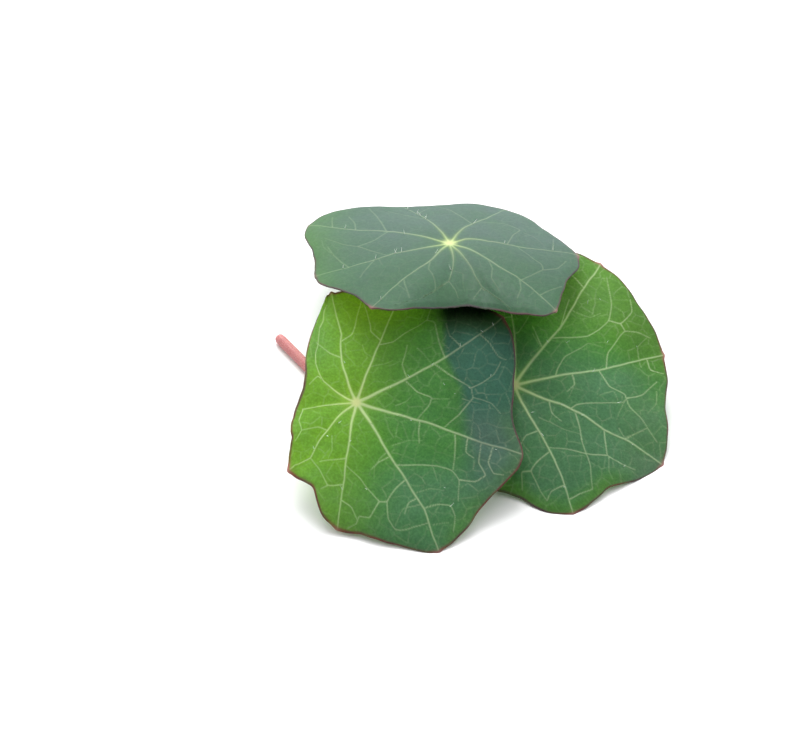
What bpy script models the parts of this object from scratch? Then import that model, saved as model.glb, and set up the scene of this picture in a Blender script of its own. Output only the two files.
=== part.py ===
"""Nasturtium microgreen sprig, cut and laid on a surface.

One pink stem lies on the surface and forks into three petioles. Each petiole carries one round
shield leaf by its middle. Lengths are in metres, +Z is up, and the origin is the centre of the
sprig's footprint on the surface.
"""
import math

import bmesh
import bpy
import numpy as np
from mathutils import Matrix, Vector

MM = 0.001

# Leaf blade
BLADE_THICKNESS = 0.65 * MM
HUB_DIMPLE_DEPTH = 0.6 * MM
HUB_DIMPLE_RADIUS = 3.0 * MM
HUB_BOSS_HEIGHT = 0.35 * MM
HUB_BOSS_RADIUS = 1.5 * MM
RINGS = 14

# Ribs stand out of both faces along the nine main veins, and forks of them make the raised net
RIB_HALF_WIDTH_AT_HUB = 0.7 * MM
RIB_HALF_WIDTH_AT_TIP = 0.35 * MM
RIB_HEIGHT_BELOW = 0.35 * MM
RIB_HEIGHT_ABOVE = 0.12 * MM
RIB_TAPER = 0.8
RIB_FOOT_LIMIT = 0.16
FORK_HEIGHT_BELOW = 0.15 * MM
FORK_HEIGHT_ABOVE = 0.08 * MM
FORK_FIRST_RING = 8
TIP_TOOTH = 0.25 * MM

# Each leaf: hub position in mm, lean of its face towards -Y and towards +X in degrees, and one row
# for each vein, going round. A row is the azimuth of the vein's tip, the extra azimuth at which the
# vein leaves the hub, the rise of the tip and of the margin half-way to the next tip, and four
# lengths from the hub to the margin: at the tip and 1/4, 1/2 and 3/4 of the way to the next one.
LEAVES = {
    "leaf_left": {
        "hub": (-15.6, -10.1, 8.8),
        "lean": (22.0, 3.0),
        "veins": (
            (-19, 0, 0.4, 0.5, 23.7, 21.4, 21.5, 23.0),
            (32, -9, 0.4, 0.4, 23.5, 21.2, 19.0, 17.4),
            (69, 2, -0.5, -1.0, 16.4, 16.0, 16.1, 16.4),
            (102, 5, -1.3, -1.3, 16.4, 16.0, 16.1, 16.1),
            (111, 53, -0.8, 0.0, 13.8, 10.8, 8.1, 7.5),
            (188, 1, -0.6, -0.4, 8.3, 9.3, 10.0, 11.3),
            (227, 7, -1.3, -0.4, 13.0, 13.0, 13.4, 16.1),
            (263, -3, -1.4, -0.5, 17.4, 17.9, 19.1, 20.9),
            (298, 9, -0.1, 0.2, 23.1, 22.9, 22.2, 22.7),
        ),
    },
    "leaf_top": {
        "hub": (-2.8, 15.3, 12.9),
        "lean": (-21.0, 1.0),
        "veins": (
            (-2, 1, -1.2, -1.0, 17.8, 16.2, 15.2, 15.8),
            (60, 0, -1.2, -0.8, 16.1, 15.6, 14.4, 14.5),
            (116, -6, -1.2, -1.0, 15.6, 17.1, 19.2, 21.1),
            (157, 9, -1.6, -1.6, 21.6, 20.8, 19.2, 19.0),
            (199, 12, -2.0, -1.0, 19.7, 20.4, 19.8, 19.3),
            (238, 6, -1.2, -1.4, 20.2, 19.4, 17.5, 16.0),
            (267, 7, -2.3, -2.7, 14.8, 14.0, 13.8, 14.8),
            (294, -4, -2.7, -2.3, 16.1, 18.3, 19.4, 21.1),
            (313, 5, -2.0, -1.2, 21.0, 19.3, 18.1, 18.4),
        ),
    },
    "leaf_right": {
        "hub": (5.9, -5.4, 6.8),
        "lean": (16.0, 7.0),
        "veins": (
            (16, -6, -1.2, -0.9, 22.1, 22.5, 22.5, 23.5),
            (57, -5, -1.8, -2.5, 23.8, 23.7, 20.7, 18.0),
            (97, 0, -2.8, -2.6, 17.0, 15.8, 14.5, 13.6),
            (137, 0, -2.2, -1.4, 13.5, 12.5, 11.5, 10.5),
            (175, 0, -1.4, -1.4, 10.5, 9.5, 9.5, 10.5),
            (215, 0, -1.6, -1.6, 11.5, 11.0, 11.0, 12.0),
            (256, 0, -2.0, -1.4, 14.4, 14.9, 16.0, 18.3),
            (293, 6, -0.4, -0.1, 19.6, 19.4, 19.1, 21.1),
            (334, 3, -1.1, -0.5, 22.7, 22.2, 21.2, 21.7),
        ),
    },
}

# Stem and petioles: centre lines in mm, from the cut end or the fork outwards
STEM_RADIUS = 0.75 * MM
PETIOLE_RADIUS = 0.62 * MM
PETIOLE_END_RADIUS = 0.8 * MM
PETIOLE_END_LENGTH = 1.5 * MM
PETIOLE_GAP = 0.3 * MM
FLOOR_PRESS = 0.08 * MM
TUBE_SIDES = 12
TUBE_STEP = 0.9 * MM
STEM_ROUTE = ((-26.6, 8.1), (-22.9, 3.3), (-19.9, -1.2), (-17.7, -5.4))
PETIOLE_ROUTES = {
    "leaf_left": ((-17.7, -5.4, 1.0), (-17.0, -6.8, 2.3), (-16.2, -8.2, 4.4)),
    "leaf_top": (
        (-17.7, -5.4, 1.0),
        (-14.7, -3.3, 0.7),
        (-10.3, 0.6, 0.54),
        (-6.1, 4.8, 0.54),
        (-3.9, 8.4, 1.2),
        (-3.1, 11.0, 4.0),
        (-2.9, 13.0, 7.4),
    ),
    "leaf_right": (
        (-17.7, -5.4, 1.0),
        (-14.2, -6.0, 0.7),
        (-8.7, -5.8, 0.54),
        (-2.7, -4.6, 0.54),
        (2.3, -4.0, 1.1),
        (5.0, -4.2, 2.8),
    ),
}
FORK_POINT = (-17.7, -5.4, 1.0)
FORK_RADII = (1.15 * MM, 1.35 * MM, 1.0 * MM)
BUD_POINT = (-16.8, -7.5, 0.75)
BUD_RADII = (0.62 * MM, 1.1 * MM, 0.62 * MM)

SHARP_EDGE = math.radians(40)
LEAF_COLOUR = (0.11, 0.28, 0.07, 1.0)
STEM_COLOUR = (0.62, 0.22, 0.25, 1.0)


def clear_scene():
    """Remove every object that the file opened with."""
    for thing in list(bpy.data.objects):
        bpy.data.objects.remove(thing, do_unlink=True)


def plain_material(name, colour, roughness):
    """A Principled material with one colour."""
    material = bpy.data.materials.new(name)
    material.use_nodes = True
    shader = material.node_tree.nodes["Principled BSDF"]
    shader.inputs["Base Color"].default_value = colour
    shader.inputs["Roughness"].default_value = roughness
    shader.inputs["Metallic"].default_value = 0.0
    material.diffuse_color = colour
    return material


def ring_spline(values, place):
    """Smooth closed curve that passes through values[i] at place i."""
    values = np.asarray(values, float)
    count = len(values)
    place = np.asarray(place, float) % count
    index = np.floor(place).astype(int) % count
    part = place - np.floor(place)
    before, start = values[(index - 1) % count], values[index]
    end, after = values[(index + 1) % count], values[(index + 2) % count]
    slope_start = (end - before) / 2
    slope_end = (after - start) / 2
    return (
        (2 * part**3 - 3 * part**2 + 1) * start
        + (part**3 - 2 * part**2 + part) * slope_start
        + (-2 * part**3 + 3 * part**2) * end
        + (part**3 - part**2) * slope_end
    )


def turn_spline(azimuths, place):
    """The same for azimuths in degrees that go once round."""
    azimuths = np.asarray(azimuths, float)
    even = np.arange(len(azimuths)) * 360.0 / len(azimuths)
    return place * 360.0 / len(azimuths) + ring_spline(azimuths - even, place)


def leaf_axes(lean_front, lean_right):
    """Unit vectors across, along and out of a leaf that leans towards -Y and +X."""
    front, right = math.radians(lean_front), math.radians(lean_right)
    normal = np.array([
        math.sin(right),
        -math.sin(front) * math.cos(right),
        math.cos(front) * math.cos(right),
    ])
    across = np.array([1.0, 0.0, 0.0]) - normal * normal[0]
    across /= np.linalg.norm(across)
    return across, np.cross(normal, across), normal


def leaf_point(leaf, reach, place):
    """Point on the upper face: reach is 0 at the hub and 1 at the margin, place counts veins."""
    veins = np.array(leaf["veins"], float)
    bend = ring_spline(veins[:, 1], place) * (1 - reach)
    azimuth = np.radians(turn_spline(veins[:, 0], place) + bend)
    radius = ring_spline(veins[:, 4:8].ravel(), place * 4) * MM * reach
    rise = ring_spline(veins[:, 2:4].ravel(), place * 2) * MM
    dimple = HUB_DIMPLE_DEPTH * (1 - math.exp(-((radius / HUB_DIMPLE_RADIUS) ** 2)))
    height = (rise - HUB_DIMPLE_DEPTH) * reach**2 + dimple
    across, along, normal = leaf_axes(*leaf["lean"])
    hub = np.array(leaf["hub"]) * MM
    point = hub + across * radius * math.cos(azimuth) + along * radius * math.sin(azimuth)
    return point + normal * height, radius


def spoke_places(leaf, reach):
    """Places of the 54 spokes on one ring: rib crest, its two feet and three between, per vein."""
    count = len(leaf["veins"])
    half_width = RIB_HALF_WIDTH_AT_HUB + (RIB_HALF_WIDTH_AT_TIP - RIB_HALF_WIDTH_AT_HUB) * reach
    places = []
    for vein in range(count):
        here = leaf["veins"][vein]
        after = leaf["veins"][(vein + 1) % count]
        sector = math.radians((after[0] - here[0]) % 360)
        radius = (here[4] + after[4]) / 2 * MM * reach
        foot = min(half_width / (radius * sector), RIB_FOOT_LIMIT)
        places += [vein, vein + foot, vein + 0.25, vein + 0.5, vein + 0.75, vein + 1 - foot]
    return places


def relief(ring, spoke, reach):
    """Height that ribs and forks add above and below the blade at one grid point."""
    taper = 1.0 - RIB_TAPER * reach
    if spoke == 0:
        return RIB_HEIGHT_ABOVE * taper, RIB_HEIGHT_BELOW * taper
    steps_out = ring - FORK_FIRST_RING
    side = min(spoke, 6 - spoke)
    if (side, steps_out) in ((1, 1), (2, 2), (3, 3), (3, 4)):
        return FORK_HEIGHT_ABOVE, FORK_HEIGHT_BELOW
    return 0.0, 0.0


def leaf_grid(leaf):
    """Upper and lower points of the blade: the hub first, then ring by ring."""
    normal = leaf_axes(*leaf["lean"])[2]
    upper, lower = [], []
    for ring in range(RINGS + 1):
        reach = ring / RINGS
        places = spoke_places(leaf, reach) if ring else [0.0]
        for index, place in enumerate(places):
            spoke = index % 6
            above, below = relief(ring, spoke, reach) if ring else (0.0, 0.0)
            point, radius = leaf_point(leaf, reach, place)
            if ring == RINGS and spoke == 0:
                outward = point - leaf_point(leaf, 0.9, place)[0]
                point = point + outward / np.linalg.norm(outward) * TIP_TOOTH
            boss = HUB_BOSS_HEIGHT * math.exp(-((radius / HUB_BOSS_RADIUS) ** 2))
            upper.append(point + normal * above)
            lower.append(point - normal * (BLADE_THICKNESS + boss + below))
    return np.array(upper), np.array(lower)


def leaf_triangles(spokes):
    """Triangles of one face, split so that the forks run along edges."""
    faces = [(0, 1 + i, 1 + (i + 1) % spokes) for i in range(spokes)]
    for ring in range(RINGS - 1):
        inner, outer = 1 + ring * spokes, 1 + (ring + 1) * spokes
        for i in range(spokes):
            j = (i + 1) % spokes
            a, b, c, d = inner + i, inner + j, outer + j, outer + i
            if i % 6 < 3:
                faces += [(a, d, c), (a, c, b)]
            else:
                faces += [(a, d, b), (b, d, c)]
    return faces


def make_leaf(name, leaf, material):
    """One closed blade with its waved margin, ribs and forks; low edges are flat on the surface."""
    upper, lower = leaf_grid(leaf)
    spokes = 6 * len(leaf["veins"])
    count = len(upper)
    faces = leaf_triangles(spokes)
    faces += [(count + a, count + c, count + b) for a, b, c in leaf_triangles(spokes)]
    rim = 1 + (RINGS - 1) * spokes
    for i in range(spokes):
        a, b = rim + i, rim + (i + 1) % spokes
        faces += [(a, count + a, count + b), (a, count + b, b)]
    points = np.vstack([upper, lower])
    points[:, 2] = np.maximum(points[:, 2], 0.0)
    hub = np.array(leaf["hub"]) * MM
    mesh = bpy.data.meshes.new(name)
    mesh.from_pydata([tuple(p - hub) for p in points], [], faces)
    mesh.materials.append(material)
    mesh.validate()
    thing = bpy.data.objects.new(name, mesh)
    thing.location = hub
    bpy.context.collection.objects.link(thing)
    mesh.shade_smooth()
    mesh.set_sharp_from_angle(angle=SHARP_EDGE)
    return thing


def smooth_route(points):
    """Points about one step apart on a smooth curve through the route's points, in metres."""
    corners = [Vector(p) * MM for p in points]
    corners = [corners[0] * 2 - corners[1]] + corners + [corners[-1] * 2 - corners[-2]]
    route = []
    for i in range(1, len(corners) - 2):
        before, start, end, after = corners[i - 1:i + 3]
        steps = max(2, round((end - start).length / TUBE_STEP))
        for step in range(steps):
            f = step / steps
            spot = start * (2 * f**3 - 3 * f**2 + 1) + end * (3 * f**2 - 2 * f**3)
            spot += (end - before) / 2 * (f**3 - 2 * f**2 + f)
            spot += (after - start) / 2 * (f**3 - f**2)
            route.append(spot)
    route.append(corners[-2])
    return route


def make_tube(name, route, radii):
    """Closed tube along a route, with a flat facet downwards where it lies level."""
    bm = bmesh.new()
    heading = (route[1] - route[0]).normalized()
    side = heading.cross(Vector((0, 0, 1))).normalized()
    rings = []
    for i, (spot, radius) in enumerate(zip(route, radii)):
        ahead = route[min(i + 1, len(route) - 1)] - route[max(i - 1, 0)]
        turn = heading.rotation_difference(ahead)
        side.rotate(turn)
        heading = ahead.normalized()
        lift = side.cross(heading)
        ring = []
        for k in range(TUBE_SIDES):
            angle = (k + 0.5) * math.tau / TUBE_SIDES
            ring.append(bm.verts.new(spot + (side * math.cos(angle) + lift * math.sin(angle)) * radius))
        rings.append(ring)
    for low, high in zip(rings, rings[1:]):
        for k in range(TUBE_SIDES):
            n = (k + 1) % TUBE_SIDES
            bm.faces.new((low[k], low[n], high[n], high[k]))
    bm.faces.new(reversed(rings[0]))
    bm.faces.new(rings[-1])
    bmesh.ops.recalc_face_normals(bm, faces=bm.faces)
    mesh = bpy.data.meshes.new(name)
    bm.to_mesh(mesh)
    bm.free()
    return bpy.data.objects.new(name, mesh)


def make_ovoid(name, centre, radii, heading):
    """Small closed egg shape for the swollen fork and the growing tip."""
    bm = bmesh.new()
    bmesh.ops.create_icosphere(bm, subdivisions=2, radius=1.0)
    turn = Vector((0, 1, 0)).rotation_difference(heading).to_matrix().to_4x4()
    place = Matrix.Translation(Vector(centre) * MM) @ turn @ Matrix.Diagonal((*radii, 1.0))
    bmesh.ops.transform(bm, matrix=place, verts=bm.verts)
    mesh = bpy.data.meshes.new(name)
    bm.to_mesh(mesh)
    bm.free()
    return bpy.data.objects.new(name, mesh)


def stem_tube():
    """The cut stem, lying along the surface up to the fork."""
    height = (STEM_RADIUS - FLOOR_PRESS) / MM
    route = smooth_route([(x, y, height) for x, y in STEM_ROUTE])
    route.insert(1, route[0].lerp(route[1], 0.25))
    radii = [STEM_RADIUS] * len(route)
    radii[0] = STEM_RADIUS * 0.75
    return make_tube("stem", route, radii)


def petiole_tube(name):
    """One petiole, from the fork to just under its leaf's hub, ending square to the leaf."""
    leaf = LEAVES[name]
    normal = Vector(leaf_axes(*leaf["lean"])[2])
    hub = Vector(leaf["hub"]) * MM
    end = hub - normal * (BLADE_THICKNESS + HUB_BOSS_HEIGHT + PETIOLE_GAP)
    neck = end - normal * PETIOLE_END_LENGTH
    points = list(PETIOLE_ROUTES[name]) + [tuple(neck / MM), tuple(end / MM)]
    route = smooth_route(points)
    radii = []
    for spot in route:
        near_end = max(0.0, 1 - (spot - end).length / PETIOLE_END_LENGTH)
        radii.append(PETIOLE_RADIUS + (PETIOLE_END_RADIUS - PETIOLE_RADIUS) * near_end**2)
    return make_tube("petiole_" + name, route, radii)


def make_stem(material):
    """Stem, swollen fork, growing tip and three petioles grown together in one solid."""
    heading = (Vector((*STEM_ROUTE[-1], 0)) - Vector((*STEM_ROUTE[-2], 0))).normalized()
    stem = stem_tube()
    bpy.context.collection.objects.link(stem)
    branches = bpy.data.collections.new("branches")
    bpy.context.scene.collection.children.link(branches)
    for name in PETIOLE_ROUTES:
        branches.objects.link(petiole_tube(name))
    branches.objects.link(make_ovoid("fork", FORK_POINT, FORK_RADII, heading))
    branches.objects.link(make_ovoid("bud", BUD_POINT, BUD_RADII, heading))
    union = stem.modifiers.new("grown_together", "BOOLEAN")
    union.operation = "UNION"
    union.operand_type = "COLLECTION"
    union.collection = branches
    union.solver = "EXACT"
    union.use_self = True
    bpy.context.view_layer.update()
    joined = bpy.data.meshes.new_from_object(stem.evaluated_get(bpy.context.evaluated_depsgraph_get()))
    stem.modifiers.clear()
    stem.data = joined
    for piece in list(branches.objects):
        bpy.data.objects.remove(piece, do_unlink=True)
    bpy.data.collections.remove(branches)
    for vertex in joined.vertices:
        vertex.co.z = max(vertex.co.z, 0.0)
    joined.materials.clear()
    joined.materials.append(material)
    joined.shade_smooth()
    joined.set_sharp_from_angle(angle=SHARP_EDGE)
    return stem


def main():
    clear_scene()
    leaf_green = plain_material("leaf_green", LEAF_COLOUR, 0.55)
    stem_pink = plain_material("stem_pink", STEM_COLOUR, 0.45)
    make_stem(stem_pink)
    for name, leaf in LEAVES.items():
        make_leaf(name, leaf, leaf_green)


main()
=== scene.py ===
"""Looks of a cut nasturtium microgreen sprig: fine leaf blades, stem, floor, light and camera.

Three round shield leaves stand on slim petioles that fork from one pink stem. Lengths are in
metres unless a comment says mm, +Z is up, and every piece keeps the place of the solid that it
replaces.
"""
import math

import bmesh
import bpy
import numpy as np
from mathutils import Matrix, Vector, noise
from mathutils.kdtree import KDTree


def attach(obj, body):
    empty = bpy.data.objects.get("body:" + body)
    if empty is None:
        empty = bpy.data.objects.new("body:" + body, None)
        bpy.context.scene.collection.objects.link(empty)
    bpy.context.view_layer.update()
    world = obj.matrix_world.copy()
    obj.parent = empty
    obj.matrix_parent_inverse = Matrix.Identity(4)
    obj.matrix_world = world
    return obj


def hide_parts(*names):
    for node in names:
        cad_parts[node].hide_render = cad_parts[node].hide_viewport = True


MM = 0.001
TINY = 1e-12

# Photograph's frame and camera
IMAGE_WIDTH = 800
SENSOR_WIDTH = 36.0
CAMERA_ELEVATION = math.radians(50)
CAMERA_DISTANCE = 0.4
CAMERA_AIM = (-9.7 * MM, 2.6 * MM, 0.0)
PIXEL_SIZE = 0.14 * MM
CAMERA_CLIP = (0.01, 10.0)

# Leaf blade: a range is where a change starts and where it is full
BLADE_THICKNESS = 0.36 * MM
FACE_DROP = 0.12 * MM
MARGIN_THINNING = 0.16 * MM
THINNING_REACHES = (0.88, 1.0)
RIM_BULGE = 0.11 * MM
SPACING_ABOVE = 0.125 * MM
SPACING_BELOW = 0.22 * MM
RIM_STEPS = 4
RIM_BELOW = (0.2, 0.9)
FEWEST_RING_POINTS = 7
RING_SAMPLES = 1441
RADIUS_SAMPLES = 181
HUB_DIMPLE_DEPTH = 0.6 * MM
HUB_DIMPLE_RADIUS = 3.0 * MM
HUB_BOSS_HEIGHT = 0.45 * MM
HUB_BOSS_RADIUS = 1.3 * MM
LOW_EDGE_DROP = 0.42 * MM
LOW_EDGE_RANGE = (0.6 * MM, 3.5 * MM)
TIP_TOOTH = 0.3 * MM
TIP_TOOTH_WIDTH = 0.45 * MM
MARGIN_RIPPLE = 0.045 * MM
# Share, turn in radians a place and start of each wave of the ripple
RIPPLE_WAVES = ((1.0, 14.3, 1.1), (0.6, 31.7, 0.4))

VEIN_LAYERS = ("main_vein", "side_vein", "net_vein")

# Relief of the two faces. Ridges are the heights of main veins, side veins and net, a swelling is
# its height and the length from the vein over which it rises, first beside main, then side veins
RIDGES_ABOVE = (0.055 * MM, 0.03 * MM, -0.010 * MM)
SWELLINGS = ((0.11 * MM, 1.3 * MM), (0.045 * MM, 0.7 * MM))
SWELLING_POWER = 1.5
FLAT_MARGIN = (0.93, 1.0)
RIDGES_BELOW = (0.0, 0.12 * MM, 0.03 * MM)
RIB_WIDTH = 0.45 * MM
RIB_HEIGHT_HUB_MARGIN = (0.42 * MM, 0.12 * MM)
BROAD_WAVE_HEIGHT = 0.22 * MM
BROAD_WAVE_SIZE = 6.5 * MM

# Veins: half width and strength, each at the start and at the end of the vein
MAIN_VEIN = ((0.19 * MM, 0.085 * MM), (1.0, 0.66))
FORK_VEIN = ((0.095 * MM, 0.070 * MM), (0.80, 0.50))
TWIG_VEIN = ((0.080 * MM, 0.060 * MM), (0.45, 0.22))
VEIN_PROFILE = 2.5
VEIN_TAPER = 0.5
VEIN_SIZE_POWER = 0.6
MAIN_END = 0.985
VEIN_STEP = 0.06 * MM
VEIN_WANDER = 0.11 * MM
WANDER_SIZE = 2.4 * MM
SIDE_VEIN_CURVE = 0.45
SNAP_REACH = 0.55
SNAP_SHARE = 0.9

# Fine net between the veins
NET_REACH = 27 * MM
NET_CELL = 2.1 * MM
NET_ROW = 0.87
NET_JITTER = 0.48
NET_HALF_WIDTH = 0.075 * MM
NET_BEND = 0.18 * MM
NET_BEND_SIZE = 1.1 * MM
NET_FAINT_STRONG = (0.25, 0.80)
NET_CLEARANCE = (0.1 * MM, 0.5 * MM)

# Pale glow beside the main veins and round the hub
HALO_WIDTH = 0.32 * MM
HALO_LENGTH = 2.2 * MM
HUB_HALO = 0.7
HUB_HALO_RADIUS = 1.1 * MM

# Dark margin: height in mm, turn in radians a place and share of the seed of each wave of its width
EDGE_WAVES = ((0.03, 2.3, 1), (0.02, 7.1, 0))
EDGE_WIDER_RED = 0.4
EDGE_FADE = (0.5, 1.7)
TIP_SPOT_LENGTH = 0.6 * MM
TIP_SPOT_DEPTH = 0.40 * MM
RED_TIPS = (0.1, 0.6)
RED_LENGTH = 1.9 * MM

# What is added to a leaf's seed for each use
NET_SEED = 9
PATCH_SEED = 50
SPOT_SEED = 60
HAIR_SEED = 400

# Reaches at which the courses of the main veins are given
COURSE_REACHES = (0.15, 0.30, 0.45, 0.60, 0.75, 0.90)
STRAIGHT = (0.0, 0.0, 0.0, 0.0, 0.0, 0.0)
RISES_A_VEIN = 2
LENGTHS_A_VEIN = 4

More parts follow.
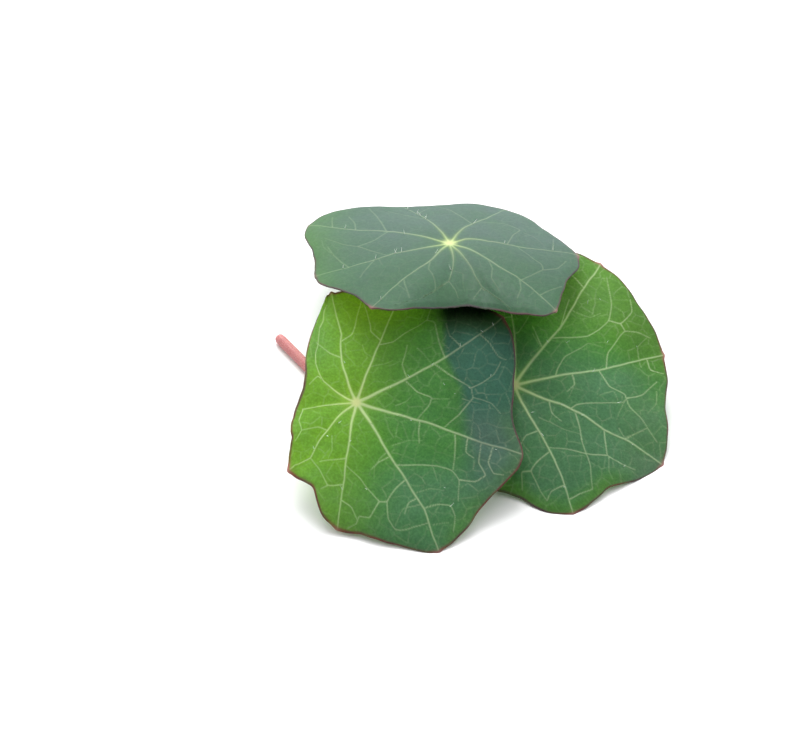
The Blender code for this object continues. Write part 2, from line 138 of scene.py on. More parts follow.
# Each leaf as the solid has it. hub is its place in mm, and lean its slope towards -Y and +X in
# degrees. dark_edge is the dark margin's width in mm, and hub_edge is the lengths from the hub in
# mm at which the pale hub starts and is full. A row of veins is the azimuth of the vein's tip, the
# extra azimuth at which the vein leaves the hub, the rise of the tip and of the margin half-way to
# the next tip in mm, and four lengths from the hub to the margin in mm: at the tip and 1/4, 1/2 and
# 3/4 of the way to the next one. A course is how far a vein lies beside its straight line, in
# places, at each of COURSE_REACHES. ends are the reaches of main veins that stop short, and tips
# the strengths of the tooth and the pink spot at each vein's tip. A fork or twig is a route of
# (place, reach), and a hair stands at one: place counts the main veins round the leaf, and reach is
# 0 at the hub and 1 at the margin.
LEAVES = {
    "leaf_left": {
        "hub": (-15.6, -10.1, 8.8),
        "lean": (22.0, 3.0),
        "dark_edge": 0.25,
        "hub_edge": (0.95, 0.25),
        "veins": (
            (-19, 0, 0.4, 0.5, 23.7, 21.4, 21.5, 23.0),
            (32, -9, 0.4, 0.4, 23.5, 21.2, 19.0, 17.4),
            (69, 2, -0.5, -1.0, 16.4, 16.0, 16.1, 16.4),
            (102, 5, -1.3, -1.3, 16.4, 16.0, 16.1, 16.1),
            (111, 53, -0.8, 0.0, 13.8, 10.8, 8.1, 7.5),
            (188, 1, -0.6, -0.4, 8.3, 9.3, 10.0, 11.3),
            (227, 7, -1.3, -0.4, 13.0, 13.0, 13.4, 16.1),
            (263, -3, -1.4, -0.5, 17.4, 17.9, 19.1, 20.9),
            (298, 9, -0.1, 0.2, 23.1, 22.9, 22.2, 22.7),
        ),
        "courses": {
            0: (0.00, 0.04, 0.05, 0.03, 0.02, 0.03),
            3: (0.15, 0.14, 0.04, -0.06, -0.03, 0.00),
            4: (0.00, 0.09, 0.18, 0.08, 0.00, 0.00),
            6: (-0.33, -0.25, -0.14, -0.01, 0.09, -0.03),
            7: (-0.07, -0.02, -0.02, 0.01, -0.01, -0.03),
            8: (-0.07, -0.08, -0.04, -0.01, 0.03, 0.01),
        },
        "ends": {4: 0.60, 5: 0.88, 6: 0.97},
        "tips": (0.2, 0.7, 0.3, 0.9, 0.0, 0.1, 0.9, 0.5, 0.8),
        "forks": (
            ((3, 0.40), (3.4, 0.48), (3.8, 0.64)),
            ((3, 0.53), (2.7, 0.59), (2.6, 0.68), (2.55, 0.80), (2.5, 0.94)),
            ((4, 0.60), (3.9, 0.60), (3.75, 0.59), (3.68, 0.66), (3.66, 0.72)),
            ((3.66, 0.72), (3.52, 0.78), (3.51, 0.86), (3.35, 0.92)),
            ((4, 0.47), (4.3, 0.62), (4.6, 0.89)),
            ((2, 0.53), (1.75, 0.57), (1.65, 0.66), (1.55, 0.74), (1.5, 0.80)),
            ((2, 0.57), (2.25, 0.64), (2.3, 0.71), (2.4, 0.82), (2.5, 0.94)),
            ((1, 0.32), (1.3, 0.39), (1.4, 0.46), (1.5, 0.56)),
            ((1, 0.57), (1.2, 0.65), (1.4, 0.78), (1.5, 0.80), (1.55, 0.90)),
            ((1, 0.30), (0.65, 0.37), (0.5, 0.47), (0.35, 0.46), (0, 0.36)),
            ((1, 0.50), (0.75, 0.58), (0.55, 0.72), (0.45, 0.74), (0.38, 0.86), (0.3, 0.92)),
            ((0.55, 0.72), (0.58, 0.80), (0.62, 0.86), (0.7, 0.90)),
            ((0.45, 0.74), (0.25, 0.65), (0, 0.52)),
            ((1, 0.69), (1.17, 0.72), (1.3, 0.80)),
            ((1, 0.82), (0.88, 0.85), (0.75, 0.89), (0.7, 0.94)),
            ((9, 0.38), (8.8, 0.41), (8.6, 0.46)),
            ((9, 0.59), (8.8, 0.65), (8.6, 0.72)),
            ((9, 0.67), (8.86, 0.70), (8.84, 0.76)),
            ((9, 0.82), (8.86, 0.84), (8.8, 0.91), (8.83, 0.96)),
            ((8, 0.45), (8.25, 0.52), (8.5, 0.63), (8.58, 0.72), (8.55, 0.79), (8.4, 0.86)),
            ((8.56, 0.79), (8.65, 0.87), (8.75, 0.88), (8.82, 0.80), (9, 0.75)),
            ((8, 0.74), (8.2, 0.78), (8.3, 0.84), (8.28, 0.90), (8.2, 0.95)),
            ((8, 0.55), (7.8, 0.62), (7.65, 0.72), (7.62, 0.84), (7.68, 0.90), (7.8, 0.88), (8, 0.82)),
            ((8, 0.39), (7.7, 0.44), (7.5, 0.51)),
            ((8, 0.67), (7.9, 0.70), (7.82, 0.78)),
            ((7.65, 0.72), (7.55, 0.73), (7.4, 0.65), (7.3, 0.59), (7, 0.51)),
            ((7.55, 0.73), (7.4, 0.86), (7.26, 0.88), (7.22, 0.93), (7.1, 0.97)),
            ((7, 0.78), (7.15, 0.82), (7.23, 0.90)),
            ((7, 0.46), (6.6, 0.61), (6.33, 0.74)),
            ((6.7, 0.78), (6.6, 0.90)),
            ((7, 0.66), (6.7, 0.78), (6.4, 0.81), (6, 0.75)),
            ((6, 0.46), (5.6, 0.60), (5.45, 0.85)),
            ((5, 0.87), (5.2, 0.88), (5.45, 0.85), (5.6, 0.94)),
        ),
        "twigs": (
            ((2.4, 0.50), (2.28, 0.44), (2, 0.40)),
            ((2, 0.32), (1.62, 0.36), (1.53, 0.40)),
            ((1.34, 0.55), (1.23, 0.53), (1, 0.49)),
            ((0.31, 0.25), (0.43, 0.31), (0.58, 0.34)),
            ((8.1, 0.34), (8.5, 0.40), (8.68, 0.46)),
            ((8, 0.36), (7.74, 0.41), (7.58, 0.49), (7.53, 0.57)),
            ((6.14, 0.44), (6.46, 0.57), (6.48, 0.66)),
            ((7, 0.34), (7.38, 0.42)),
            ((8, 0.64), (8.22, 0.68), (8.34, 0.75)),
            ((8.45, 0.62), (8.36, 0.68)),
            ((8, 0.71), (7.82, 0.75), (7.68, 0.88)),
            ((8.05, 0.85), (8.2, 0.90)),
            ((0.48, 0.47), (0.45, 0.59)),
            ((0.44, 0.67), (0.38, 0.79)),
        ),
        "hairs": (
            (3, 0.34), (5, 0.49), (6, 0.29), (6, 0.65), (7, 0.32), (1, 0.21), (1, 0.34), (1, 0.48),
            (1, 0.68), (0, 0.245), (0, 0.33), (7.4, 0.66), (8.38, 0.75), (8.29, 0.84), (0.61, 0.84),
            (0.55, 0.72), (0.65, 0.55), (0.52, 0.62),
        ),
    },
    "leaf_top": {
        "hub": (-2.8, 15.3, 12.9),
        "lean": (-21.0, 1.0),
        "dark_edge": 0.175,
        "hub_edge": (1.35, 0.45),
        "veins": (
            (-2, 1, -1.2, -1.0, 17.8, 16.2, 15.2, 15.8),
            (60, 0, -1.2, -0.8, 16.1, 15.6, 14.4, 14.5),
            (116, -6, -1.2, -1.0, 15.6, 17.1, 19.2, 21.1),
            (157, 9, -1.6, -1.6, 21.6, 20.8, 19.2, 19.0),
            (199, 12, -2.0, -1.0, 19.7, 20.4, 19.8, 19.3),
            (238, 6, -1.2, -1.4, 20.2, 19.4, 17.5, 16.0),
            (267, 7, -2.3, -2.7, 14.8, 14.0, 13.8, 14.8),
            (294, -4, -2.7, -2.3, 16.1, 18.3, 19.4, 21.1),
            (313, 5, -2.0, -1.2, 21.0, 19.3, 18.1, 18.4),
        ),
        "courses": {
            0: (0.40, 0.01, -0.05, -0.07, -0.04, -0.02),
            1: (0.08, 0.04, -0.02, -0.06, -0.05, -0.03),
            3: (-0.02, -0.03, -0.02, 0.04, 0.03, 0.01),
            4: (0.18, 0.07, -0.01, 0.05, 0.04, 0.03),
            5: (0.13, 0.14, 0.04, -0.01, -0.03, 0.00),
            6: (0.17, 0.17, 0.09, 0.03, -0.03, -0.03),
            7: (0.05, 0.05, -0.01, -0.06, -0.07, -0.06),
            8: (0.00, -0.06, -0.07, 0.00, -0.02, -0.03),
        },
        "ends": {6: 0.69, 7: 0.78},
        "tips": (1.0, 0.3, 0.0, 0.3, 0.3, 0.8, 0.0, 0.0, 0.9),
        "forks": (
            ((3, 0.43), (2.7, 0.55), (2.5, 0.75), (2.4, 0.90)),
            ((3, 0.64), (2.87, 0.69), (2.73, 0.80)),
            ((3, 0.81), (2.8, 0.90)),
            ((3, 0.42), (3.35, 0.52), (3.53, 0.67), (3.45, 0.77), (3.3, 0.86)),
            ((3.53, 0.67), (3.7, 0.60), (4, 0.48)),
            ((4, 0.58), (4.3, 0.69), (4.45, 0.80)),
            ((4, 0.76), (3.7, 0.86), (3.5, 0.88)),
            ((5, 0.34), (5.3, 0.47), (5.5, 0.58), (5.72, 0.80), (5.55, 0.87)),
            ((6, 0.69), (5.72, 0.80)),
            ((6, 0.69), (6.2, 0.82), (6.25, 0.91)),
            ((5, 0.62), (5.1, 0.69), (5.35, 0.86)),
            ((7, 0.74), (6.6, 0.91)),
            ((7, 0.74), (7.15, 0.86), (7.2, 0.96)),
            ((8, 0.35), (7.7, 0.46), (7.4, 0.59), (7.3, 0.74)),
            ((8, 0.65), (8.45, 0.79), (8.57, 0.75), (8.65, 0.66), (9, 0.52)),
            ((8.45, 0.79), (8.6, 0.88), (8.8, 0.90)),
            ((8, 0.64), (7.8, 0.72), (7.55, 0.83)),
            ((8, 0.83), (8.2, 0.91), (8.35, 0.97)),
            ((0, 0.44), (0.3, 0.58), (0.46, 0.72), (0.66, 0.66), (1, 0.48)),
            ((0, 0.79), (0.25, 0.93)),
            ((1, 0.40), (1.5, 0.72), (1.67, 0.93)),
            ((2, 0.70), (1.75, 0.87)),
            ((2, 0.50), (2.2, 0.62), (2.3, 0.78)),
        ),
        "twigs": (
            ((4, 0.55), (4.36, 0.58)),
            ((5, 0.70), (5.2, 0.76), (5.34, 0.84)),
            ((6, 0.68), (5.7, 0.78), (5.58, 0.88), (5.33, 0.91), (5.23, 0.94)),
            ((6.14, 0.55), (6.5, 0.61), (6.42, 0.76), (6.44, 0.84)),
            ((8, 0.78), (7.78, 0.81)),
            ((0.38, 0.72), (0.27, 0.76), (0.09, 0.76)),
            ((3.7, 0.86), (3.5, 0.91), (3.3, 0.89)),
        ),
        "hairs": (
            (4, 0.42), (4, 0.38), (2, 0.55), (2, 0.62), (2, 0.70), (3, 0.72), (1, 0.42), (0, 0.42),
            (0, 0.80), (4, 0.80), (3, 0.30), (5, 0.22),
        ),
    },
    "leaf_right": {
        "hub": (5.9, -5.4, 6.8),
        "lean": (16.0, 7.0),
        "dark_edge": 0.19,
        "hub_edge": (1.05, 0.30),
        "veins": (
            (16, -6, -1.2, -0.9, 22.1, 22.5, 22.5, 23.5),
            (57, -5, -1.8, -2.5, 23.8, 23.7, 20.7, 18.0),
            (97, 0, -2.8, -2.6, 17.0, 15.8, 14.5, 13.6),
            (137, 0, -2.2, -1.4, 13.5, 12.5, 11.5, 10.5),
            (175, 0, -1.4, -1.4, 10.5, 9.5, 9.5, 10.5),
            (215, 0, -1.6, -1.6, 11.5, 11.0, 11.0, 12.0),
            (256, 0, -2.0, -1.4, 14.4, 14.9, 16.0, 18.3),
            (293, 6, -0.4, -0.1, 19.6, 19.4, 19.1, 21.1),
            (334, 3, -1.1, -0.5, 22.7, 22.2, 21.2, 21.7),
        ),
        "courses": {
            0: (0.08, 0.06, 0.02, 0.01, 0.02, 0.01),
            1: (0.08, 0.03, -0.01, 0.01, 0.03, 0.01),
            2: (-0.20, -0.20, -0.20, -0.16, -0.13, -0.10),
            7: (-0.22, -0.07, -0.02, 0.02, 0.02, 0.01),
            8: (-0.13, 0.02, 0.02, -0.03, 0.01, 0.00),
        },
        "ends": {},
        "tips": (0.9, 0.9, 0.5, 0.5, 0.3, 0.3, 0.3, 0.6, 1.0),
        "forks": (
            ((1, 0.37), (0.75, 0.46), (0.58, 0.57), (0.56, 0.66), (0.57, 0.75), (0.7, 0.83), (0.9, 0.94)),
            ((0.57, 0.75), (0.47, 0.81), (0.5, 0.92), (0.6, 0.96)),
            ((0.47, 0.81), (0.37, 0.81)),
            ((0, 0.26), (0.3, 0.29), (0.5, 0.37), (0.48, 0.49)),
            ((0, 0.59), (0.23, 0.64), (0.32, 0.73), (0.37, 0.81), (0.3, 0.88), (0.2, 0.94)),
            ((9, 0.54), (8.7, 0.61), (8.58, 0.72), (8.42, 0.75), (8.3, 0.82), (8.15, 0.93)),
            ((8.53, 0.74), (8.6, 0.84), (8.75, 0.92)),
            ((9, 0.87), (8.88, 0.89), (8.83, 0.97)),
            ((9, 0.37), (8.75, 0.38), (8.5, 0.34)),
            ((8, 0.36), (8.2, 0.40), (8.37, 0.53), (8.45, 0.70), (8.53, 0.74)),
            ((8, 0.39), (7.8, 0.48), (7.62, 0.59), (7.5, 0.71), (7.43, 0.81), (7.3, 0.93)),
            ((8, 0.60), (7.8, 0.69), (7.7, 0.77), (7.74, 0.85), (7.8, 0.93)),
            ((7.7, 0.77), (7.55, 0.74), (7.35, 0.63), (7, 0.51)),
            ((8, 0.73), (8.15, 0.80), (8.24, 0.86)),
            ((8, 0.23), (7.6, 0.33), (7.6, 0.41)),
            ((7, 0.54), (6.75, 0.62), (6.62, 0.73), (6.7, 0.85), (6.77, 0.91)),
            ((6.62, 0.73), (6.48, 0.79), (6.48, 0.93)),
            ((7, 0.79), (6.84, 0.84), (6.77, 0.91)),
            ((7, 0.89), (7.15, 0.90), (7.3, 0.93)),
            ((7, 0.38), (6.6, 0.45), (6.45, 0.57)),
            ((2, 0.44), (1.7, 0.44), (1.55, 0.54)),
            ((1, 0.29), (1.25, 0.33), (1.45, 0.44)),
            ((1, 0.46), (1.1, 0.66)),
            ((1, 0.78), (1.17, 0.82), (1.3, 0.90)),
            ((2, 0.60), (2.3, 0.70), (2.45, 0.86)),
            ((3, 0.45), (2.7, 0.58), (2.55, 0.72)),
            ((3, 0.62), (3.3, 0.72), (3.4, 0.88)),
            ((4, 0.50), (3.65, 0.62), (3.55, 0.80)),
            ((4, 0.60), (4.35, 0.72), (4.5, 0.90)),
            ((5, 0.48), (4.7, 0.60), (4.6, 0.76)),
            ((5, 0.60), (5.35, 0.70), (5.5, 0.88)),
            ((6, 0.45), (5.7, 0.56), (5.6, 0.72)),
            ((6, 0.58), (6.25, 0.72), (6.3, 0.88)),
        ),
        "twigs": (
            ((1, 0.60), (0.76, 0.65), (0.7, 0.73)),
            ((1.4, 0.37), (1.1, 0.29)),
            ((0.48, 0.50), (0.48, 0.55), (0.33, 0.62)),
            ((8.93, 0.83), (0.16, 0.84), (0.22, 0.94)),
            ((9, 0.36), (8.75, 0.38), (8.3, 0.34)),
            ((7.18, 0.30), (7.35, 0.37), (7.84, 0.29)),
            ((7.35, 0.37), (7.5, 0.48), (7.67, 0.56)),
            ((8.1, 0.68), (8.03, 0.73), (8.2, 0.84)),
            ((7.7, 0.78), (7.58, 0.89), (7.56, 0.95)),
            ((8.5, 0.73), (8.3, 0.67), (8.2, 0.66)),
            ((8.64, 0.93), (8.5, 0.93), (8.38, 0.86)),
            ((6.64, 0.57), (6.54, 0.55), (6.47, 0.48)),
        ),
        "hairs": (
            (8, 0.30), (7, 0.42), (7, 0.80), (8, 0.78), (1, 0.34), (0, 0.5), (3, 0.5), (5, 0.4),
            (0.89, 0.71), (0.81, 0.79), (0.72, 0.42), (0.36, 0.66), (0.17, 0.84), (7.74, 0.88),
            (8.44, 0.67),
        ),
    },
}
SEEDS = {"leaf_left": 11, "leaf_top": 23, "leaf_right": 37}

# Seed of the noise that bends veins and net
NOISE_SEED = 5

BLADE_NAMES = {"leaf_left": "blade_left", "leaf_top": "blade_top", "leaf_right": "blade_right"}

# Hairs on the veins. Lean and bend are the sideways lengths for one of height
LOOSE_HAIRS = 6
LOOSE_HAIR_REACHES = (0.15, 0.92)
HAIR_LENGTH = (0.5 * MM, 0.9 * MM)
HAIR_RADIUS = 0.055 * MM
HAIR_FOOT = 1.6
HAIR_TAPER = 0.85
HAIR_LEAN = (0.25, 0.7)
HAIR_BEND = (-0.25, 0.25)
HAIR_RINGS = 5
HAIR_SIDES = 3

# Stem and petioles: centre lines in mm, from the cut end or the fork outwards
STEM_RADIUS = 0.75 * MM
CUT_END_SHARE = 0.80
CUT_END_LENGTH = 0.5 * MM
PETIOLE_RADIUS = 0.62 * MM
PETIOLE_END_RADIUS = 1.0 * MM
PETIOLE_END_LENGTH = 2.0 * MM
PETIOLE_SINK = 0.22 * MM
GREEN_RANGE = (0.25, 1.0)
FLOOR_PRESS = 0.08 * MM
TUBE_SIDES = 32
TUBE_STEP = 0.3 * MM
STEM_ROUTE = ((-26.75, 8.3), (-22.9, 3.3), (-19.9, -1.2), (-17.7, -5.4))
FORK_POINT = (-17.7, -5.4, 1.0)
PETIOLE_ROUTES = {
    "leaf_left": (FORK_POINT, (-17.0, -6.8, 2.3), (-16.2, -8.2, 4.4)),
    "leaf_top": (
        FORK_POINT,
        (-14.7, -3.3, 0.7),
        (-10.3, 0.6, 0.54),
        (-6.1, 4.8, 0.54),
        (-3.9, 8.4, 1.2),
        (-3.1, 11.0, 4.0),
        (-2.9, 13.0, 7.4),
    ),
    "leaf_right": (
        FORK_POINT,
        (-14.2, -6.0, 0.7),
        (-8.7, -5.8, 0.54),
        (-2.7, -4.6, 0.54),
        (2.3, -4.0, 1.1),
        (5.0, -4.2, 2.8),
    ),
}
FORK_RADII = (1.15 * MM, 1.35 * MM, 1.0 * MM)
CUT_SINK = 0.15 * MM
CUT_RADII = (0.70 * MM, 0.55 * MM, 0.70 * MM)
CUT_FACE_RANGE = (-0.26 * MM, -0.12 * MM)
CUT_FACE_RADIUS = 1.2 * MM
BUD_POINT = (-16.8, -7.5, 0.75)
BUD_RADII = (0.62 * MM, 1.1 * MM, 0.62 * MM)

# One skin over stem and petioles, made at 1000 times its size, so its voxel is in mm
SKIN_VOXEL = 0.1
SKIN_SOFTENING = 0.5
SKIN_SOFTENING_ROUNDS = 4
SKIN_RIDGES = 11
SKIN_RIDGE_HEIGHT = 0.010 * MM
SKIN_RIDGE_TWIST = 0.7
END_FACE_RANGE = (0.35, 0.75)

# Surroundings, lamp and floor
WORLD_LOW_HIGH = (1.50, 1.10)
WORLD_FRONT_BACK = (0.08, 1.45)
WORLD_TURN = (-0.65, 0.35)
KEY_PLACE = (-0.15, 0.85, 0.9)
KEY_SIZE = 0.7
KEY_POWER = 15.0
FLOOR_SIZE = 6.0
FLOOR_SINK = 0.02 * MM

# Areas of each leaf's skin. A row is a share of x and of y in the leaf's plane, from the hub, and
# the sums in mm at which the area starts and is full. An area with two rows lies where both are
LOW_EDGE_BAND = (0.5 * MM, 3.5 * MM)
LOW_EDGE_ROWS = (2.0, -4.0)
SKIN_AREAS = {
    "leaf_left": {
        "middle": ((1, 0, 0.0, 8.0),),
        "low": ((0, 1, -6.0, -12.0), (1, 0, -2.0, 5.0)),
        "low_right": ((1, 0, 10.0, 14.0),),
        "upper_left": ((1, 0, -1.0, -6.0), (0, 1, 3.0, 8.0)),
        "lower_left": ((0, 1, -8.0, -13.0), (1, 0, 6.0, 0.0)),
        "below_top": ((0, 1, 13.0, 9.0),),
        "front": ((0, 1, 1.0, -5.0),),
        "shadow_start": ((1, 0, 7.5, 11.5),),
        "shadow": ((1, 0, 10.5, 12.8),),
        "shadow_end": ((1, 0, 17.0, 20.5),),
        "back": ((0, 1, 9.0, 13.6),),
    },
    "leaf_top": {
        "left": ((1, 0, -12.0, -22.0),),
        "green_left": ((1, 0, -8.0, -20.0),),
        "dull_left": ((1, 0, -6.0, -18.0),),
        "back": ((0, 1, -14.0, 7.0),),
    },
    "leaf_right": {
        "sunlit": ((0.45, 1, 8.0, 19.0),),
        "waxless": ((0.2, 1, 3.0, 11.0),),
        "low_right": ((1, 0, 12.0, 18.0), (0, 1, 2.0, -4.0)),
        "right": ((1, 0, 13.0, 18.0), (0, 1, -4.0, 1.0)),
        "far_right": ((1, 0, 13.0, 20.0), (0, 1, -4.0, 1.0)),
        "shadow": ((1, 0, 5.0, 1.0), (0, 1, 2.0, 5.0)),
    },
}
# The left leaf's grey right side is painted shade, where the right leaf lies behind it and less
# light comes through: x of its border and the border's softness in mm along y, and how much this
# painted shade dims the veins and the light through the leaf along y
SHADE_ROWS = (-12, -4, 2, 7)
SHADE_BORDER = (15.5, 14.8, 14.3, 12.0)
SHADE_SOFTNESS = (6.0, 3.2, 1.7, 1.1)
SHADE_DIMMING_ROWS = (-14, -10, -4)
SHADE_DIMMING_SHARES = (0.35, 0.5, 1.0)
SHADE_EDGE = (-0.5, 0.5)
# Where the left leaf's fresh green ends, which is partly painted light that comes through its left side:
# the x that each y in mm adds, and the range of the sum
FRESH_AND_LIT_SLOPE = -0.35
FRESH_AND_LIT_ROWS = (-3, 20)
FRESH_AND_LIT_END = (-2.0, 9.0)
HAZE_RANGE = (0.0, 0.1)
# Strength and size of the irregular patches and spots in wax and green
PATCHES = ((0.12, 5.0 * MM, PATCH_SEED), (0.07, 1.8 * MM, SPOT_SEED))


def hermite(part, start, end, slope_start, slope_end):
    """Smooth curve from start to end that has the given slopes at its ends."""
    return (
        (2 * part**3 - 3 * part**2 + 1) * start
        + (part**3 - 2 * part**2 + part) * slope_start
        + (-2 * part**3 + 3 * part**2) * end
        + (part**3 - part**2) * slope_end
    )


def ring_spline(values, place):
    """Smooth closed curve that passes through values[i] at place i."""
    values = np.asarray(values, float)
    count = len(values)
    place = np.asarray(place, float) % count
    index = np.floor(place).astype(int)
    before, start, end, after = (values[(index + step) % count] for step in (-1, 0, 1, 2))
    return hermite(place - index, start, end, (end - before) / 2, (after - start) / 2)


def turn_spline(azimuths, place):
    """The same for azimuths in degrees that go once round."""
    azimuths = np.asarray(azimuths, float)
    even = np.arange(len(azimuths)) * 360.0 / len(azimuths)
    return place * 360.0 / len(azimuths) + ring_spline(azimuths - even, place)


def smooth_step(value, low, high):
    """0 up to low, 1 from high on, and smooth between; low may be the larger one."""
    part = np.clip((value - low) / (high - low), 0.0, 1.0)
    return part * part * (3 - 2 * part)


def bell(distance, width):
    """1 at distance 0, falling smoothly to 0 over a few widths."""
    return np.exp(-((distance / width) ** 2))


def unit_rows(rows):
    """Rows scaled to length 1."""
    return rows / (np.linalg.norm(rows, axis=1)[:, None] + TINY)


def leaf_axes(lean_front, lean_right):
    """Unit vectors across, along and out of a leaf that leans towards -Y and +X."""
    front, right = math.radians(lean_front), math.radians(lean_right)
    normal = np.array([
        math.sin(right),
        -math.sin(front) * math.cos(right),
        math.cos(front) * math.cos(right),
    ])
    across = np.array([1.0, 0.0, 0.0]) - normal * normal[0]
    across /= np.linalg.norm(across)
    return across, np.cross(normal, across), normal


def vein_rows(leaf):
    """Azimuths, extra azimuths at the hub, rises and lengths from the leaf's rows of veins."""
    rows = np.array(leaf["veins"], float)
    rises, lengths = np.split(rows[:, 2:], [RISES_A_VEIN], axis=1)
    return rows[:, 0], rows[:, 1], rises.ravel(), lengths.ravel()


def course_shift(leaf, vein, reach):
    """How far a main vein lies beside its straight line at a reach, in places."""
    course = leaf["courses"].get(int(vein) % len(leaf["veins"]), STRAIGHT)
    return np.interp(reach, COURSE_REACHES, course)


def near_tip(leaf, place, radius):
    """Strength of the nearest main vein's tip, from 0 to 1, and how far it is round the margin."""
    count = len(leaf["veins"])
    vein = np.round(place).astype(int)
    shifts = np.array([course_shift(leaf, index, 1.0) for index in range(count)])
    places = np.abs(place - vein - shifts[vein % count])
    return np.array(leaf["tips"])[vein % count], places * math.tau / count * radius


def margin_radius(leaf, place):
    """Length from the hub to the margin, with a small tooth at each vein's tip and a fine ripple."""
    radius = ring_spline(vein_rows(leaf)[3], place * LENGTHS_A_VEIN) * MM
    strength, arc = near_tip(leaf, place, radius)
    ripple = sum(share * np.sin(place * turn + start) for share, turn, start in RIPPLE_WAVES)
    ripple *= MARGIN_RIPPLE * np.minimum(1.0, arc / MM)
    return radius + TIP_TOOTH * strength * bell(arc, TIP_TOOTH_WIDTH) + ripple


def flat_point(leaf, reach, place):
    """Point of the blade in the leaf's own plane, measured from the hub."""
    azimuths, bends, _, _ = vein_rows(leaf)
    azimuth = np.radians(turn_spline(azimuths, place) + ring_spline(bends, place) * (1 - reach))
    radius = margin_radius(leaf, place) * reach
    return np.stack([radius * np.cos(azimuth), radius * np.sin(azimuth)], -1)


def blade_height(leaf, reach, place):
    """Height of the blade over the leaf's plane, before the relief of either face."""
    rise = ring_spline(vein_rows(leaf)[2], place * RISES_A_VEIN) * MM
    dimple = 1 - bell(margin_radius(leaf, place) * reach, HUB_DIMPLE_RADIUS)
    return (rise - HUB_DIMPLE_DEPTH) * reach**2 + HUB_DIMPLE_DEPTH * dimple


def to_space(leaf, flat, height):
    """Points in space of flat points at a height over the leaf's plane."""
    across, along, normal = leaf_axes(*leaf["lean"])
    hub = np.array(leaf["hub"]) * MM
    return hub + flat[:, :1] * across + flat[:, 1:] * along + np.asarray(height)[:, None] * normal


def ring_places(leaf, reach, spacing):
    """Places of points about one spacing apart on the ring at a reach."""
    fine = np.linspace(0, len(leaf["veins"]), RING_SAMPLES)
    steps = np.diff(flat_point(leaf, reach, fine), axis=0)
    length = np.append(0.0, np.cumsum(np.linalg.norm(steps, axis=1)))
    number = max(FEWEST_RING_POINTS, round(length[-1] / spacing))
    return np.interp(np.arange(number) / number * length[-1], length, fine)


def zip_rings(inner_places, inner_start, outer_places, outer_start, turns):
    """Triangles between two rings with different numbers of points."""
    inner_count, outer_count = len(inner_places), len(outer_places)
    inner_middle = (inner_places + np.append(inner_places[1:], turns)) / 2
    outer_middle = (outer_places + np.append(outer_places[1:], turns)) / 2
    outer_edge = np.arange(outer_count)
    apex = np.searchsorted(inner_middle, outer_middle, side="right") % inner_count
    outward = np.stack([
        inner_start + apex,
        outer_start + outer_edge,
        outer_start + (outer_edge + 1) % outer_count,
    ], -1)
    inner_edge = np.arange(inner_count)
    apex = np.searchsorted(outer_middle, inner_middle, side="left") % outer_count
    inward = np.stack([
        inner_start + inner_edge,
        outer_start + apex,
        inner_start + (inner_edge + 1) % inner_count,
    ], -1)
    return np.vstack([outward, inward])


def disc(leaf, spacing):
    """Reach, place and triangles of one face of the blade, and the places of its last ring."""
    count = len(leaf["veins"])
    radius = margin_radius(leaf, np.linspace(0, count, RADIUS_SAMPLES)).mean()
    rings = round(radius / spacing)
    inset = 1 - RIM_BULGE / radius
    reach, place, faces = [np.zeros(1)], [np.zeros(1)], []
    start, before = 1, None
    for ring in range(1, rings + 1):
        here = ring / rings * inset
        places = ring_places(leaf, here, spacing)
        if before is None:
            edge = np.arange(len(places))
            following = (edge + 1) % len(places)
            faces.append(np.stack([np.zeros(len(edge), int), 1 + edge, 1 + following], -1))
        else:
            faces.append(zip_rings(before, start - len(before), places, start, count))
        reach.append(np.full(len(places), here))
        place.append(places)
        start += len(places)
        before = places
    return np.concatenate(reach), np.concatenate(place), np.vstack(faces), before


def open_spline(points, step, curve_share=1.0):
    """Points about one step apart on a curve through the given points; share 0 is straight lines."""
    points = np.asarray(points, float)
    ends = np.vstack([2 * points[0] - points[1], points, 2 * points[-1] - points[-2]])
    curve = []
    for before, start, end, after in zip(ends, ends[1:], ends[2:], ends[3:]):
        count = max(2, round(np.linalg.norm(end - start) / step))
        part = np.arange(count)[:, None] / count
        slopes = ((end - before) / 2 * curve_share, (after - start) / 2 * curve_share)
        curve.append(hermite(part, start, end, *slopes))
    return np.vstack(curve + [points[-1:]])


def drifted(flat, size, shift, seed):
    """Flat points moved by up to about one shift, by smooth noise of the given size."""
    steps = [noise.noise_vector(Vector((x / size, y / size, seed))) for x, y in flat]
    return flat + np.array(steps)[:, :2] * shift


def wander(flat, seed):
    """Side steps of a vein that isn't ruler-straight, the same wherever two veins meet."""
    return drifted(flat, WANDER_SIZE, VEIN_WANDER, seed)


def vein_line(flat, kind, size=1.0):
    """Samples of one vein: flat point, direction, half width and strength in each row."""
    (wide, narrow), (strong, weak) = kind
    part = np.linspace(0.0, 1.0, len(flat))[:, None]
    width = (wide + (narrow - wide) * part**VEIN_TAPER) * size
    strength = strong + (weak - strong) * part
    return np.hstack([flat, unit_rows(np.gradient(flat, axis=0)), width, strength])


def main_veins(leaf, seed):
    """Samples of the veins that run from the hub to the margin."""
    lines = []
    lengths = margin_radius(leaf, np.arange(len(leaf["veins"]), dtype=float))
    for vein, length in enumerate(lengths):
        reach = np.linspace(0.0, leaf["ends"].get(vein, MAIN_END), round(length / VEIN_STEP))
        flat = flat_point(leaf, reach, vein + course_shift(leaf, vein, reach))
        size = (length / lengths.mean()) ** VEIN_SIZE_POWER
        lines.append(vein_line(wander(flat, seed), MAIN_VEIN, size))
    return np.vstack(lines)


def side_veins(leaf, routes, kind, seed):
    """Samples of the veins along routes; a stop on a main vein follows that vein's course."""
    lines = []
    for route in routes:
        stops = np.array(route, float)
        for stop in stops:
            if stop[0] == round(stop[0]):
                stop[0] += course_shift(leaf, *stop)
        flat = open_spline(flat_point(leaf, stops[:, 1], stops[:, 0]), VEIN_STEP, SIDE_VEIN_CURVE)
        lines.append(vein_line(wander(flat, seed), kind))
    return np.vstack(lines)


